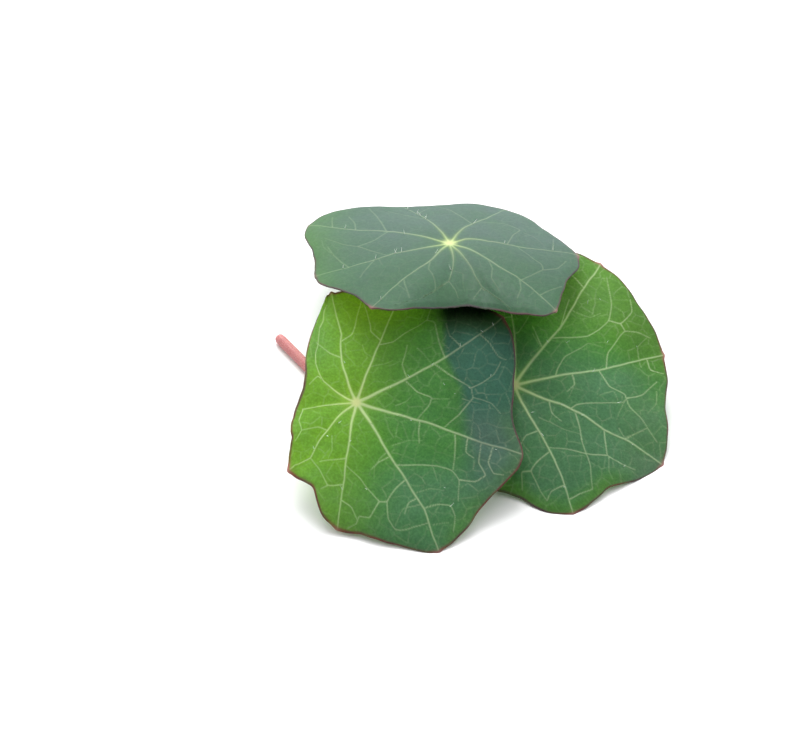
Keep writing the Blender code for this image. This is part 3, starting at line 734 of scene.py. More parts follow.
def search_tree(points):
    """Tree that finds the nearest ones of the given points in space."""
    tree = KDTree(len(points))
    for index, spot in enumerate(points):
        tree.insert(spot, index)
    tree.balance()
    return tree


def in_plane(flat):
    """Flat points as points in space at height 0."""
    return [(x, y, 0.0) for x, y in flat]


def nearest(samples, flat):
    """Distance from each flat point to the nearest sample, and which one that is."""
    tree = search_tree(in_plane(samples))
    found = [tree.find(spot) for spot in in_plane(flat)]
    return np.array([hit[2] for hit in found]), np.array([hit[1] for hit in found])


def net_cells(seed):
    """Middles of the net's cells on a jittered triangular lattice, and a chance value for each."""
    rng = np.random.default_rng(seed)
    step = np.arange(-NET_REACH, NET_REACH, NET_CELL)
    x, y = np.meshgrid(step, step * NET_ROW)
    x = x + (np.arange(len(step))[:, None] % 2) * NET_CELL / 2
    middles = np.stack([x.ravel(), y.ravel()], -1)
    middles += rng.uniform(-NET_JITTER, NET_JITTER, middles.shape) * NET_CELL
    return middles, rng.uniform(0.0, 1.0, len(middles))


def net_strength(flat, seed):
    """Strength of the lines half-way between neighbouring cells; chance makes some fainter."""
    middles, chance = net_cells(seed)
    tree = search_tree(in_plane(middles))
    bent = drifted(flat, NET_BEND_SIZE, NET_BEND, seed + NET_SEED)
    found = [tree.find_n(spot, 2) for spot in in_plane(bent)]
    first, second = np.array([[hit[1] for hit in pair] for pair in found]).T
    near, far = np.array([[hit[2] for hit in pair] for pair in found]).T
    across = np.linalg.norm(middles[first] - middles[second], axis=1)
    share = np.interp((chance[first] + chance[second]) % 1.0, (0, 1), NET_FAINT_STRONG)
    return share * bell((far**2 - near**2) / (2 * across), NET_HALF_WIDTH)


def vein_halo(flat, main_distance):
    """Yellow glow beside the main veins, strongest near the hub."""
    from_hub = np.linalg.norm(flat, axis=1)
    beside = bell(main_distance, HALO_WIDTH) * np.exp(-from_hub / HALO_LENGTH)
    return np.maximum(beside, HUB_HALO * bell(from_hub, HUB_HALO_RADIUS))


def vein_masks(veins, flat, seed):
    """Strengths of veins, net and halo at flat points, and the distances to main and side veins."""
    strengths, distances = [], []
    for lines in veins:
        distance, index = nearest(lines[:, :2], flat)
        profile = np.exp(-((distance / lines[index, 4]) ** VEIN_PROFILE))
        strengths.append(lines[index, 5] * profile)
        distances.append(distance)
    side_distance = np.minimum(distances[1], distances[2])
    clear = smooth_step(np.minimum(distances[0], side_distance), *NET_CLEARANCE)
    masks = {
        "main_vein": strengths[0],
        "side_vein": np.maximum(strengths[1], strengths[2]),
        "net_vein": net_strength(flat, seed) * clear,
        "halo": vein_halo(flat, distances[0]),
    }
    return masks, (distances[0], side_distance)


def snap_to_veins(flat, veins):
    """Move points that are close to a vein onto its line, so that each vein is one fine ridge."""
    for lines in reversed(veins):
        distance, index = nearest(lines[:, :2], flat)
        step = lines[index, :2] - flat
        along = lines[index, 2:4]
        step -= (step * along).sum(1)[:, None] * along
        close = distance < SNAP_REACH * SPACING_ABOVE
        flat[close] += step[close] * SNAP_SHARE
    return flat


def sheet_noise(flat, size, seed):
    """Smooth noise over the leaf's plane, about -1 to 1."""
    return np.array([noise.noise(Vector((x / size, y / size, seed))) for x, y in flat])


def lower_edges(points):
    """Lower the lowest edges of a blade, so that the thin blade rests where the solid does."""
    points[:, 2] -= LOW_EDGE_DROP * (1 - smooth_step(points[:, 2], *LOW_EDGE_RANGE))
    points[:, 2] = np.maximum(points[:, 2], 0.0)
    return points


def ridges(heights, masks):
    """Height of main veins, side veins and net together."""
    return sum(height * masks[name] for height, name in zip(heights, VEIN_LAYERS))


def broad_wave(flat, reach, seed):
    """Slow waves of the whole blade, none at its hub."""
    return BROAD_WAVE_HEIGHT * sheet_noise(flat, BROAD_WAVE_SIZE, seed) * reach


def upper_relief(flat, reach, masks, distances, seed):
    """Height that veins and the swelling between them give the upper face."""
    relief = ridges(RIDGES_ABOVE, masks)
    for distance, (height, width) in zip(distances, SWELLINGS):
        relief = relief + height * (1 - np.exp(-((distance / width) ** SWELLING_POWER)))
    return relief * (1 - smooth_step(reach, *FLAT_MARGIN)) + broad_wave(flat, reach, seed)


def lower_relief(flat, reach, masks, distances, seed):
    """Depth of the ribs, veins and boss under the lower face, less where the margin is thin."""
    rib = bell(distances[0], RIB_WIDTH) * np.interp(reach, (0, 1), RIB_HEIGHT_HUB_MARGIN)
    boss = HUB_BOSS_HEIGHT * bell(np.linalg.norm(flat, axis=1), HUB_BOSS_RADIUS)
    thin = MARGIN_THINNING * smooth_step(reach, *THINNING_REACHES)
    return rib + ridges(RIDGES_BELOW, masks) - broad_wave(flat, reach, seed) - thin + boss


def rim_rings(leaf, ring_flat, ring_top, ring_low):
    """Points of the rounded edge between the two faces."""
    tangent = np.roll(ring_flat, -1, axis=0) - np.roll(ring_flat, 1, axis=0)
    outward = unit_rows(np.stack([tangent[:, 1], -tangent[:, 0]], -1))
    middle, half = (ring_top + ring_low) / 2, (ring_top - ring_low) / 2
    rings = []
    for step in range(1, RIM_STEPS):
        angle = math.pi * step / RIM_STEPS
        flat = ring_flat + outward * (RIM_BULGE * math.sin(angle))
        rings.append(to_space(leaf, flat, middle + half * math.cos(angle)))
    return rings


def blade_faces(top_faces, top_count, top_ring, low_faces, low_count, low_ring, turns):
    """Triangles of a whole blade: upper face, rounded edge, lower face and what closes it."""
    size = len(top_ring)
    last = np.arange(top_count - size, top_count)
    rim = []
    for ring in range(RIM_STEPS - 1):
        now = np.arange(size) + top_count + ring * size
        following, after = np.roll(last, -1), np.roll(now, -1)
        rim += [np.stack([last, now, after], -1), np.stack([last, after, following], -1)]
        last = now
    start = top_count + (RIM_STEPS - 1) * size
    low_start = start + low_count - len(low_ring)
    closing = zip_rings(low_ring, low_start, top_ring, last[0], turns)[:, ::-1]
    return np.vstack([top_faces, *rim, low_faces[:, ::-1] + start, closing])


def leaf_blade(name, leaf, material):
    """One closed, thin, fine blade, with its masks for the material and its hairs."""
    seed = SEEDS[name]
    turns = len(leaf["veins"])
    veins = [
        main_veins(leaf, seed),
        side_veins(leaf, leaf["forks"], FORK_VEIN, seed),
        side_veins(leaf, leaf["twigs"], TWIG_VEIN, seed),
    ]
    top_reach, top_place, top_faces, top_ring = disc(leaf, SPACING_ABOVE)
    low_reach, low_place, low_faces, low_ring = disc(leaf, SPACING_BELOW)
    size = len(top_ring)
    top_flat = flat_point(leaf, top_reach, top_place)
    low_flat = flat_point(leaf, low_reach, low_place)
    top_flat[1:-size] = snap_to_veins(top_flat[1:-size], veins)
    top_masks, top_distances = vein_masks(veins, top_flat, seed)
    low_masks, low_distances = vein_masks(veins, low_flat, seed)
    top_height = blade_height(leaf, top_reach, top_place) - FACE_DROP
    top_height += upper_relief(top_flat, top_reach, top_masks, top_distances, seed)
    low_height = blade_height(leaf, low_reach, low_place) - BLADE_THICKNESS - FACE_DROP
    low_height -= lower_relief(low_flat, low_reach, low_masks, low_distances, seed)

    low_edge = low_height[-len(low_ring):]
    ring_low = np.interp(top_ring, np.append(low_ring, turns), np.append(low_edge, low_edge[0]))
    rim = rim_rings(leaf, top_flat[-size:], top_height[-size:], ring_low)
    top, low = to_space(leaf, top_flat, top_height), to_space(leaf, low_flat, low_height)
    points = lower_edges(np.vstack([top, *rim, low]))
    faces = blade_faces(top_faces, len(top), top_ring, low_faces, len(low), low_ring, turns)

    no_veins = np.zeros(len(rim) * size)
    place = np.concatenate([top_place, np.tile(top_ring, len(rim)), low_place])
    reach = np.concatenate([top_reach, no_veins + 1.0, low_reach])
    flat = np.vstack([top_flat, np.tile(top_flat[-size:], (len(rim), 1)), low_flat])
    layers = skin_layers(name, leaf, flat, reach, place)
    for layer in top_masks:
        layers[layer] = np.concatenate([top_masks[layer], no_veins, low_masks[layer]])
    rim_below = np.linspace(*RIM_BELOW, len(rim)).repeat(size)
    layers["below"] = np.concatenate([np.zeros(len(top)), rim_below, np.ones(len(low))])
    layers["hair"] = np.zeros(len(points))
    hair_points, hair_faces = leaf_hairs(leaf, seed, len(points))
    for layer, values in layers.items():
        layers[layer] = np.append(values, np.full(len(hair_points), float(layer == "hair")))
    points = np.vstack([points, hair_points])
    faces = np.vstack([faces, hair_faces])
    return mesh_piece(BLADE_NAMES[name], points, faces, layers, material)


def skin_layers(name, leaf, flat, reach, place):
    """Masks of margin, tips, hub and skin at every point of a blade."""
    radius = margin_radius(leaf, place)
    from_margin = radius * (1 - reach)
    strength, arc = near_tip(leaf, place, radius)
    red = smooth_step(strength, *RED_TIPS) * bell(arc, RED_LENGTH)
    wax, fresh_and_lit, dense_and_shaded, bloom_and_sheen, painted_shadow = skin_masks(name, flat, from_margin)
    return {
        "margin": margin_mask(leaf, from_margin, place, red, SEEDS[name]),
        "tip": strength * bell(arc, TIP_SPOT_LENGTH) * bell(from_margin, TIP_SPOT_DEPTH),
        "hub": smooth_step(np.linalg.norm(flat, axis=1) / MM, *leaf["hub_edge"]),
        "wax": wax,
        "fresh_and_lit": fresh_and_lit,
        "dense_and_shaded": dense_and_shaded,
        "bloom_and_sheen": bloom_and_sheen,
        "painted_shadow": painted_shadow,
        "edge_red": red,
    }


def left_skin(x, y, low_edge, areas):
    """Skin of the left leaf: fresh green on its left, partly painted light; waxy, grey and dense on its
    right, partly painted shade; painted shadow under the top leaf.
    """
    border = np.interp(y, SHADE_ROWS, SHADE_BORDER)
    # Painted shade: less light through and a greyer, waxier look where the right leaf lies behind
    shade = smooth_step((x - border) / np.interp(y, SHADE_ROWS, SHADE_SOFTNESS), *SHADE_EDGE)
    low_edge = low_edge * areas["low_right"]
    haze = 0.20 * areas["upper_left"] + 0.13 * areas["lower_left"]
    wax = 0.08 + 0.22 * areas["middle"] + 0.62 * shade + 0.35 * areas["low"] * (1 - shade)
    # No wax near the top edge, part of the painted shadow under the top leaf
    wax = wax * areas["below_top"] - 0.3 * low_edge + haze
    # Fresh green on the left is partly painted light that comes through the leaf
    stale_and_unlit = smooth_step(x + FRESH_AND_LIT_SLOPE * np.clip(y, *FRESH_AND_LIT_ROWS), *FRESH_AND_LIT_END)
    fresh_and_lit = 1 - 0.75 * stale_and_unlit + 0.3 * low_edge
    dense_and_shaded = shade * np.interp(y, SHADE_DIMMING_ROWS, SHADE_DIMMING_SHARES)
    bloom_and_sheen = np.maximum(shade * areas["front"], 0.85 * areas["low"])
    bloom_and_sheen = np.maximum(bloom_and_sheen, smooth_step(haze, *HAZE_RANGE))
    # Painted shadow under the top leaf's front edge
    painted_shadow = (0.4 * areas["shadow_start"] + 0.6 * areas["shadow"]) * areas["back"]
    return wax, fresh_and_lit, dense_and_shaded, bloom_and_sheen, painted_shadow * (1 - 0.8 * areas["shadow_end"])


def top_skin(x, y, low_edge, areas):
    """Skin of the top leaf: waxy and evenly dense, greener on its left, with painted sheen as bloom that
    grows towards its back.
    """
    wax = 0.85 - 0.45 * areas["left"]
    # Painted sheen: more whitish bloom towards the back, less on the left
    bloom_and_sheen = areas["back"] * (1 - 0.35 * areas["dull_left"])
    return wax, 0.5 * areas["green_left"], np.full(len(x), 0.6), bloom_and_sheen, np.zeros(len(x))


def right_skin(x, y, low_edge, areas):
    """Skin of the right leaf: waxy; fresh green, partly painted light, at the back and low edge; painted
    shade at the back and right; painted shadow by the left leaf.
    """
    low_edge = low_edge * (1 - areas["low_right"])
    wax = 0.70 - 0.62 * areas["waxless"] - 0.35 * areas["far_right"] - 0.45 * low_edge
    fresh_and_lit = 0.72 * areas["sunlit"] + 0.5 * low_edge
    # Painted shade: less light through at the back and right
    dense_and_shaded = 0.45 * areas["sunlit"] + 0.3 * areas["right"]
    # Painted shadow under the left leaf's edge, near the hub
    return wax, fresh_and_lit, dense_and_shaded, areas["low_right"], 0.22 * areas["shadow"]


SKIN_OF_LEAF = {"leaf_left": left_skin, "leaf_top": top_skin, "leaf_right": right_skin}


def margin_mask(leaf, distance, place, red, seed):
    """Thin dark edge, wider in some stretches and where it is red."""
    waves = sum(
        height * np.sin(place * turn + seed * share)
        for height, turn, share in EDGE_WAVES
    )
    width = (leaf["dark_edge"] + waves) * MM * (1 + EDGE_WIDER_RED * red)
    low, high = EDGE_FADE
    return 1 - smooth_step(distance, width * low, width * high)


def skin_masks(name, flat, from_margin):
    """Wax, fresh yellow-green with painted light, dense tissue with painted shade, whitish bloom with
    painted sheen, and painted shadow of a leaf, from 0 to 1.
    """
    x, y = flat.T / MM
    areas = {
        area: np.prod([smooth_step(a * x + b * y, *ends) for a, b, *ends in rows], axis=0)
        for area, rows in SKIN_AREAS[name].items()
    }
    low_edge = (1 - smooth_step(from_margin, *LOW_EDGE_BAND)) * smooth_step(y, *LOW_EDGE_ROWS)
    wax, fresh_and_lit, dense_and_shaded, bloom_and_sheen, painted_shadow = SKIN_OF_LEAF[name](x, y, low_edge, areas)
    patches = sum(
        height * sheet_noise(flat, size, SEEDS[name] + seed)
        for height, size, seed in PATCHES
    )
    return np.clip(wax + patches, 0, 1), np.clip(fresh_and_lit + patches, 0, 1), dense_and_shaded, bloom_and_sheen, painted_shadow


def leaf_hairs(leaf, seed, start):
    """Short pale hairs that stand on the veins: closed, tapered and slightly curved."""
    rng = np.random.default_rng(seed + HAIR_SEED)
    across, along, normal = leaf_axes(*leaf["lean"])
    spots = list(leaf["hairs"])
    for _ in range(LOOSE_HAIRS):
        spots.append((int(rng.integers(0, len(leaf["veins"]))), rng.uniform(*LOOSE_HAIR_REACHES)))
    points, faces = [], []
    for vein, reach in spots:
        reach, place = np.array([reach]), np.array([float(vein)])
        flat = wander(flat_point(leaf, reach, place), seed)
        root = lower_edges(to_space(leaf, flat, blade_height(leaf, reach, place)))[0]
        root = root - normal * FACE_DROP
        turn = rng.uniform(0, math.tau)
        lean = (across * math.cos(turn) + along * math.sin(turn)) * rng.uniform(*HAIR_LEAN)
        bend = (across * math.cos(turn + 1) + along * math.sin(turn + 1)) * rng.uniform(*HAIR_BEND)
        length = rng.uniform(*HAIR_LENGTH)
        side = np.cross(normal, lean)
        side /= np.linalg.norm(side)
        base = start + len(points)
        for ring in range(HAIR_RINGS):
            part = ring / (HAIR_RINGS - 1)
            middle = root + (normal * part + lean * part + bend * part**2) * length
            size = HAIR_RADIUS * (1 - HAIR_TAPER * part) * (1.0 if ring else HAIR_FOOT)
            for corner in range(HAIR_SIDES):
                angle = corner * math.tau / HAIR_SIDES
                turned = side * math.cos(angle) + np.cross(normal, side) * math.sin(angle)
                points.append(middle + turned * size)
        for ring in range(HAIR_RINGS - 1):
            for corner in range(HAIR_SIDES):
                a = base + ring * HAIR_SIDES + corner
                b = base + ring * HAIR_SIDES + (corner + 1) % HAIR_SIDES
                faces += [(a, b, b + HAIR_SIDES), (a, b + HAIR_SIDES, a + HAIR_SIDES)]
        top = base + HAIR_SIDES * (HAIR_RINGS - 1)
        faces += [(base, base + 2, base + 1), (top, top + 1, top + 2)]
    return np.array(points), np.array(faces)


def add_object(name, data):
    """New object in the scene."""
    thing = bpy.data.objects.new(name, data)
    bpy.context.scene.collection.objects.link(thing)
    return thing


def add_layers(mesh, layers):
    """One number at each point of the mesh for each layer."""
    for layer, values in layers.items():
        attribute = mesh.attributes.new(layer, "FLOAT", "POINT")
        attribute.data.foreach_set("value", np.asarray(values, np.float32))


def mesh_piece(name, points, faces, layers, material):
    """A smooth-shaded piece with its layers and its material."""
    mesh = bpy.data.meshes.new(name)
    mesh.from_pydata(points.tolist(), [], faces.tolist())
    mesh.shade_smooth()
    add_layers(mesh, layers)
    mesh.materials.append(material)
    return add_object(name, mesh)


def smooth_route(points):
    """Points about one step apart, in metres, on a smooth curve through the route's points in mm."""
    return open_spline(np.array(points, float) * MM, TUBE_STEP)


def add_tube(bm, route, radii):
    """Closed tube along a route."""
    route = [Vector(spot) for spot in route]
    heading = (route[1] - route[0]).normalized()
    side = heading.cross(Vector((0, 0, 1))).normalized()
    rings = []
    for i, (spot, radius) in enumerate(zip(route, radii)):
        ahead = route[min(i + 1, len(route) - 1)] - route[max(i - 1, 0)]
        side.rotate(heading.rotation_difference(ahead))
        heading = ahead.normalized()
        lift = side.cross(heading)
        ring = []
        for k in range(TUBE_SIDES):
            angle = (k + 0.5) * math.tau / TUBE_SIDES
            offset = (side * math.cos(angle) + lift * math.sin(angle)) * radius
            ring.append(bm.verts.new((spot + offset) / MM))
        rings.append(ring)
    for low, high in zip(rings, rings[1:]):
        for k in range(TUBE_SIDES):
            n = (k + 1) % TUBE_SIDES
            bm.faces.new((low[k], low[n], high[n], high[k]))
    bm.faces.new(reversed(rings[0]))
    bm.faces.new(rings[-1])


def add_ovoid(bm, centre, radii, heading):
    """Egg shape for the swollen fork, the growing tip and the domed cut end."""
    turn = Vector((0, 1, 0)).rotation_difference(heading).to_matrix().to_4x4()
    size = Matrix.Diagonal((*(radius / MM for radius in radii), 1.0))
    place = Matrix.Translation(centre) @ turn @ size
    bmesh.ops.create_icosphere(bm, subdivisions=3, radius=1.0, matrix=place)


def petiole_route(name):
    """Centre line of one petiole, up into the underside of its leaf."""
    leaf = LEAVES[name]
    normal = leaf_axes(*leaf["lean"])[2]
    end = np.array(leaf["hub"]) - normal * (BLADE_THICKNESS + PETIOLE_SINK) / MM
    neck = end - normal * PETIOLE_END_LENGTH / MM
    return smooth_route([*PETIOLE_ROUTES[name], neck, end])


def stem_skin(material):
    """Stem, swollen fork, growing tip and three petioles as one smooth skin."""
    height = (STEM_RADIUS - FLOOR_PRESS) / MM
    route = smooth_route([(x, y, height) for x, y in STEM_ROUTE])
    bm = bmesh.new()
    full = smooth_step(np.linalg.norm(route - route[0], axis=1), 0.0, CUT_END_LENGTH)
    add_tube(bm, route, STEM_RADIUS * (CUT_END_SHARE + (1 - CUT_END_SHARE) * full))
    inward = Vector(route[1] - route[0]).normalized()
    cut_point = (Vector(route[0]) + inward * CUT_SINK) / MM
    samples, green = [route], [np.zeros(len(route))]
    for name in PETIOLE_ROUTES:
        route = petiole_route(name)
        to_end = np.linalg.norm(route - route[-1], axis=1)
        flare = np.maximum(0.0, 1 - to_end / PETIOLE_END_LENGTH)
        add_tube(bm, route, PETIOLE_RADIUS + (PETIOLE_END_RADIUS - PETIOLE_RADIUS) * flare**2)
        from_fork = np.linalg.norm(route - route[0], axis=1)
        samples.append(route)
        green.append(smooth_step(from_fork / from_fork.max(), *GREEN_RANGE))
    heading = (Vector((*STEM_ROUTE[-1], 0)) - Vector((*STEM_ROUTE[-2], 0))).normalized()
    add_ovoid(bm, Vector(FORK_POINT), FORK_RADII, heading)
    add_ovoid(bm, Vector(BUD_POINT), BUD_RADII, heading)
    add_ovoid(bm, cut_point, CUT_RADII, inward)
    mesh = bpy.data.meshes.new("stem_and_petioles")
    bm.to_mesh(mesh)
    bm.free()
    thing = add_object("stem_and_petioles", mesh)
    remesh = thing.modifiers.new("grow_together", "REMESH")
    remesh.mode = "VOXEL"
    remesh.voxel_size = SKIN_VOXEL
    smooth = thing.modifiers.new("soften", "SMOOTH")
    smooth.factor = SKIN_SOFTENING
    smooth.iterations = SKIN_SOFTENING_ROUNDS
    bpy.context.view_layer.update()
    graph = bpy.context.evaluated_depsgraph_get()
    grown = bpy.data.meshes.new_from_object(thing.evaluated_get(graph))
    bpy.data.objects.remove(thing, do_unlink=True)
    return finish_skin(grown, np.vstack(samples), np.concatenate(green), material)


def finish_skin(mesh, samples, green, material):
    """Fine ridges along the stem, and how green, how streaked and how cut each point is."""
    points = np.empty(len(mesh.vertices) * 3)
    mesh.vertices.foreach_get("co", points)
    points = points.reshape(-1, 3) * MM
    normals = np.array([v.normal for v in mesh.vertices])
    tree = search_tree(samples)
    index = np.array([tree.find(spot)[1] for spot in points])
    tangent = unit_rows(np.gradient(samples, axis=0))[index]
    side = unit_rows(np.cross(tangent, np.array([0.0, 0.0, 1.0])))
    lift = np.cross(side, tangent)
    offset = points - samples[index]
    angle = np.arctan2((offset * lift).sum(1), (offset * side).sum(1))
    on_side = 1 - smooth_step(np.abs((normals * tangent).sum(1)), *END_FACE_RANGE)
    ridge = np.sin(angle * SKIN_RIDGES + np.sin(points[:, 0] / MM * SKIN_RIDGE_TWIST))
    points = points + normals * (ridge * on_side * SKIN_RIDGE_HEIGHT)[:, None]
    points[:, 2] = np.maximum(points[:, 2], 0.0)
    mesh.vertices.foreach_set("co", points.ravel())
    mesh.name = "stem_and_petioles"
    mesh.shade_smooth()
    mesh.update()
    from_cut = points - samples[0]
    into = samples[3] - samples[0]
    cut = 1 - smooth_step(from_cut @ (into / np.linalg.norm(into)), *CUT_FACE_RANGE)
    cut *= np.linalg.norm(from_cut, axis=1) < CUT_FACE_RADIUS
    add_layers(mesh, {"green": green[index], "streak": angle / math.pi, "cut": cut})
    mesh.materials.clear()
    mesh.materials.append(material)
    return add_object("stem_and_petioles", mesh)


class Shader:
    """Short names for building one material's nodes."""

    def __init__(self, name):
        self.material = bpy.data.materials.new(name)
        self.material.use_nodes = True
        self.tree = self.material.node_tree
        self.main = self.tree.nodes["Principled BSDF"]
        self.out = self.tree.nodes["Material Output"]

    def node(self, kind, **settings):
        made = self.tree.nodes.new(kind)
        for key, value in settings.items():
            setattr(made, key, value)
        return made

    def plug(self, socket, value):
        if isinstance(value, bpy.types.NodeSocket):
            self.tree.links.new(value, socket)
        else:
            socket.default_value = value

    def fill(self, node, **values):
        """Set or link the node's inputs; an underscore in a name stands for a space."""
        for name, value in values.items():
            self.plug(node.inputs[name.replace("_", " ")], value)
        return node

    def attribute(self, name):
        return self.node("ShaderNodeAttribute", attribute_name=name).outputs["Fac"]

    def place(self):
        return self.node("ShaderNodeTexCoord").outputs["Object"]

    def noise(self, size, detail=3.0, roughness=0.5, **settings):
        made = self.node("ShaderNodeTexNoise", **settings)
        self.fill(made, Vector=self.place(), Scale=1.0 / size, Detail=detail, Roughness=roughness)
        return made

    def spread(self, value, low, high, to_low=0.0, to_high=1.0):
        made = self.node("ShaderNodeMapRange", interpolation_type="SMOOTHSTEP")
        self.fill(made, Value=value, From_Min=low, From_Max=high, To_Min=to_low, To_Max=to_high)
        return made.outputs["Result"]

    def pattern(self, noise, span):
        """Noise of a size, spread between two values."""
        return self.spread(self.noise(*noise).outputs["Fac"], *span)

    def maths(self, operation, first, second):
        made = self.node("ShaderNodeMath", operation=operation)
        self.plug(made.inputs[0], first)
        self.plug(made.inputs[1], second)
        return made.outputs[0]

    def times(self, first, second):
        return self.maths("MULTIPLY", first, second)

    def mix(self, factor, first, second, blend="MIX"):
        made = self.node("ShaderNodeMix", data_type="RGBA", blend_type=blend)
        for index, value in ((0, factor), (6, first), (7, second)):
            self.plug(made.inputs[index], value)
        return made.outputs[2]

    def coated(self, colour, *coats):
        """The colour under coats, each a strength and a colour."""
        for strength, coat in coats:
            colour = self.mix(strength, colour, coat)
        return colour

    def bump(self, height, distance, strength):
        made = self.node("ShaderNodeBump")
        return self.fill(made, Height=height, Distance=distance, Strength=strength).outputs["Normal"]


# Colours of the leaves
DEEP_GREEN = (0.080, 0.248, 0.058, 1)
# Fresh green, partly painted light that comes through the leaf
FRESH_AND_LIT_GREEN = (0.172, 0.400, 0.053, 1)
SHADE_GREEN = (0.060, 0.210, 0.050, 1)
VEIN_PALE = (0.83, 0.95, 0.64, 1)
HALO_YELLOW = (0.55, 0.70, 0.16, 1)
HUB_PALE = (1.00, 1.00, 0.58, 1)
UNDERSIDE = (0.26, 0.42, 0.20, 1)
EDGE_PURPLE = (0.19, 0.095, 0.125, 1)
EDGE_GREY = (0.125, 0.092, 0.108, 1)
EDGE_RED = (0.46, 0.095, 0.085, 1)
TIP_PINK = (0.68, 0.36, 0.35, 1)
HAIR_PALE = (0.92, 0.98, 0.90, 1)
# Painted shadow: near-black green under the edges of the leaves above
PAINTED_SHADOW_GREEN = (0.004, 0.022, 0.002, 1)
WHITE = (1, 1, 1, 1)

# Colours of the light that comes through the leaves
# Brighter where the leaf is fresh and painted lit
GLOW_FRESH_AND_LIT = (0.53, 0.74, 0.13, 1)
GLOW_DEEP = (0.34, 0.66, 0.14, 1)
GLOW_WAXED = (0.22, 0.50, 0.22, 1)
# Dim where the tissue is dense and where painted shade lies
GLOW_DENSE_AND_SHADED = (0.05, 0.12, 0.06, 1)
GLOW_VEIN = (0.90, 1.00, 0.50, 1)
GLOW_RED = (0.27, 0.085, 0.095, 1)
GLOW_PURPLE = (0.085, 0.070, 0.080, 1)
GLOW_HUB = (1.00, 1.00, 0.60, 1)

# Size, detail and roughness of each noise, and how it is spread: from, to, value at from and at to
GRAIN, GRAIN_SPAN = (0.30 * MM, 3.0, 0.6), (0.36, 0.64, 0.84, 1.16)
MOTTLE, MOTTLE_SPAN = (0.55 * MM, 2.0, 0.5), (0.35, 0.65, 0.92, 1.08)
PATCH, PATCH_SPAN = (2.6 * MM, 3.0, 0.6), (0.35, 0.75, 0.0, 0.28)
NET_FADE, NET_FADE_SPAN = (3.0 * MM,), (0.3, 0.7, 0.4, 1.0)
EDGE_BREAKS, EDGE_BREAKS_SPAN = (2.5 * MM,), (0.25, 0.6, 0.5, 0.95)
REDNESS, REDNESS_SPAN = (6.0 * MM,), (0.42, 0.60, 0.0, 0.65)
GLOSS, GLOSS_SPAN = (0.6 * MM,), (0.3, 0.7, 0.44, 0.60)
# How far the veins fade where the tissue is dense and where painted shade lies
DENSE_AND_SHADED_SPAN = (0.6, 1.0, 1.0, 0.62)
HALO_SHARE = 0.7
WAX_ROUGHNESS = 0.06
PORE_SIZE = 0.30 * MM
PORE_SHARE, GRAIN_SHARE = 0.4, 0.6
LEAF_BUMP = (0.035 * MM, 0.8)

# For each leaf: edge is the colour of its dark margin, red_edge how far that turns red and tip how
# pink the vein tips are. wax and bloom_and_sheen are the colours of wax and of whitish bloom, which
# also stands in for painted sheen, through the share of light that goes through, and gloss the
# strength of the gloss. veins, side_veins, net and hub are how pale these are, vein_glow is how clear
# veins are in light from behind, and speckle is the strength of the fine grain
LOWER_LEAVES = {
    "edge": EDGE_PURPLE,
    "tip": 1.0,
    "through": 0.60,
    "veins": 0.96,
    "side_veins": 0.88,
    "net": 0.42,
    "vein_glow": 0.90,
    "hub": 1.0,
    "speckle": 0.55,
}
LEAF_LOOKS = {
    "leaf_left": {
        **LOWER_LEAVES,
        "red_edge": 1.0,
        "wax": (0.085, 0.262, 0.185, 1),
        "bloom_and_sheen": (0.160, 0.302, 0.238, 1),
        "gloss": 0.20,
    },
    "leaf_top": {
        "edge": EDGE_GREY,
        "red_edge": 0.30,
        "tip": 0.6,
        "wax": (0.082, 0.172, 0.120, 1),
        "bloom_and_sheen": (0.152, 0.217, 0.220, 1),
        "through": 0.55,
        "gloss": 0.38,
        "veins": 0.32,
        "side_veins": 0.70,
        "net": 0.18,
        "vein_glow": 0.35,
        "hub": 0.6,
        "speckle": 0.35,
    },
    "leaf_right": {
        **LOWER_LEAVES,
        "red_edge": 0.75,
        "wax": (0.138, 0.256, 0.198, 1),
        "bloom_and_sheen": (0.200, 0.280, 0.235, 1),
        "gloss": 0.25,
    },
}


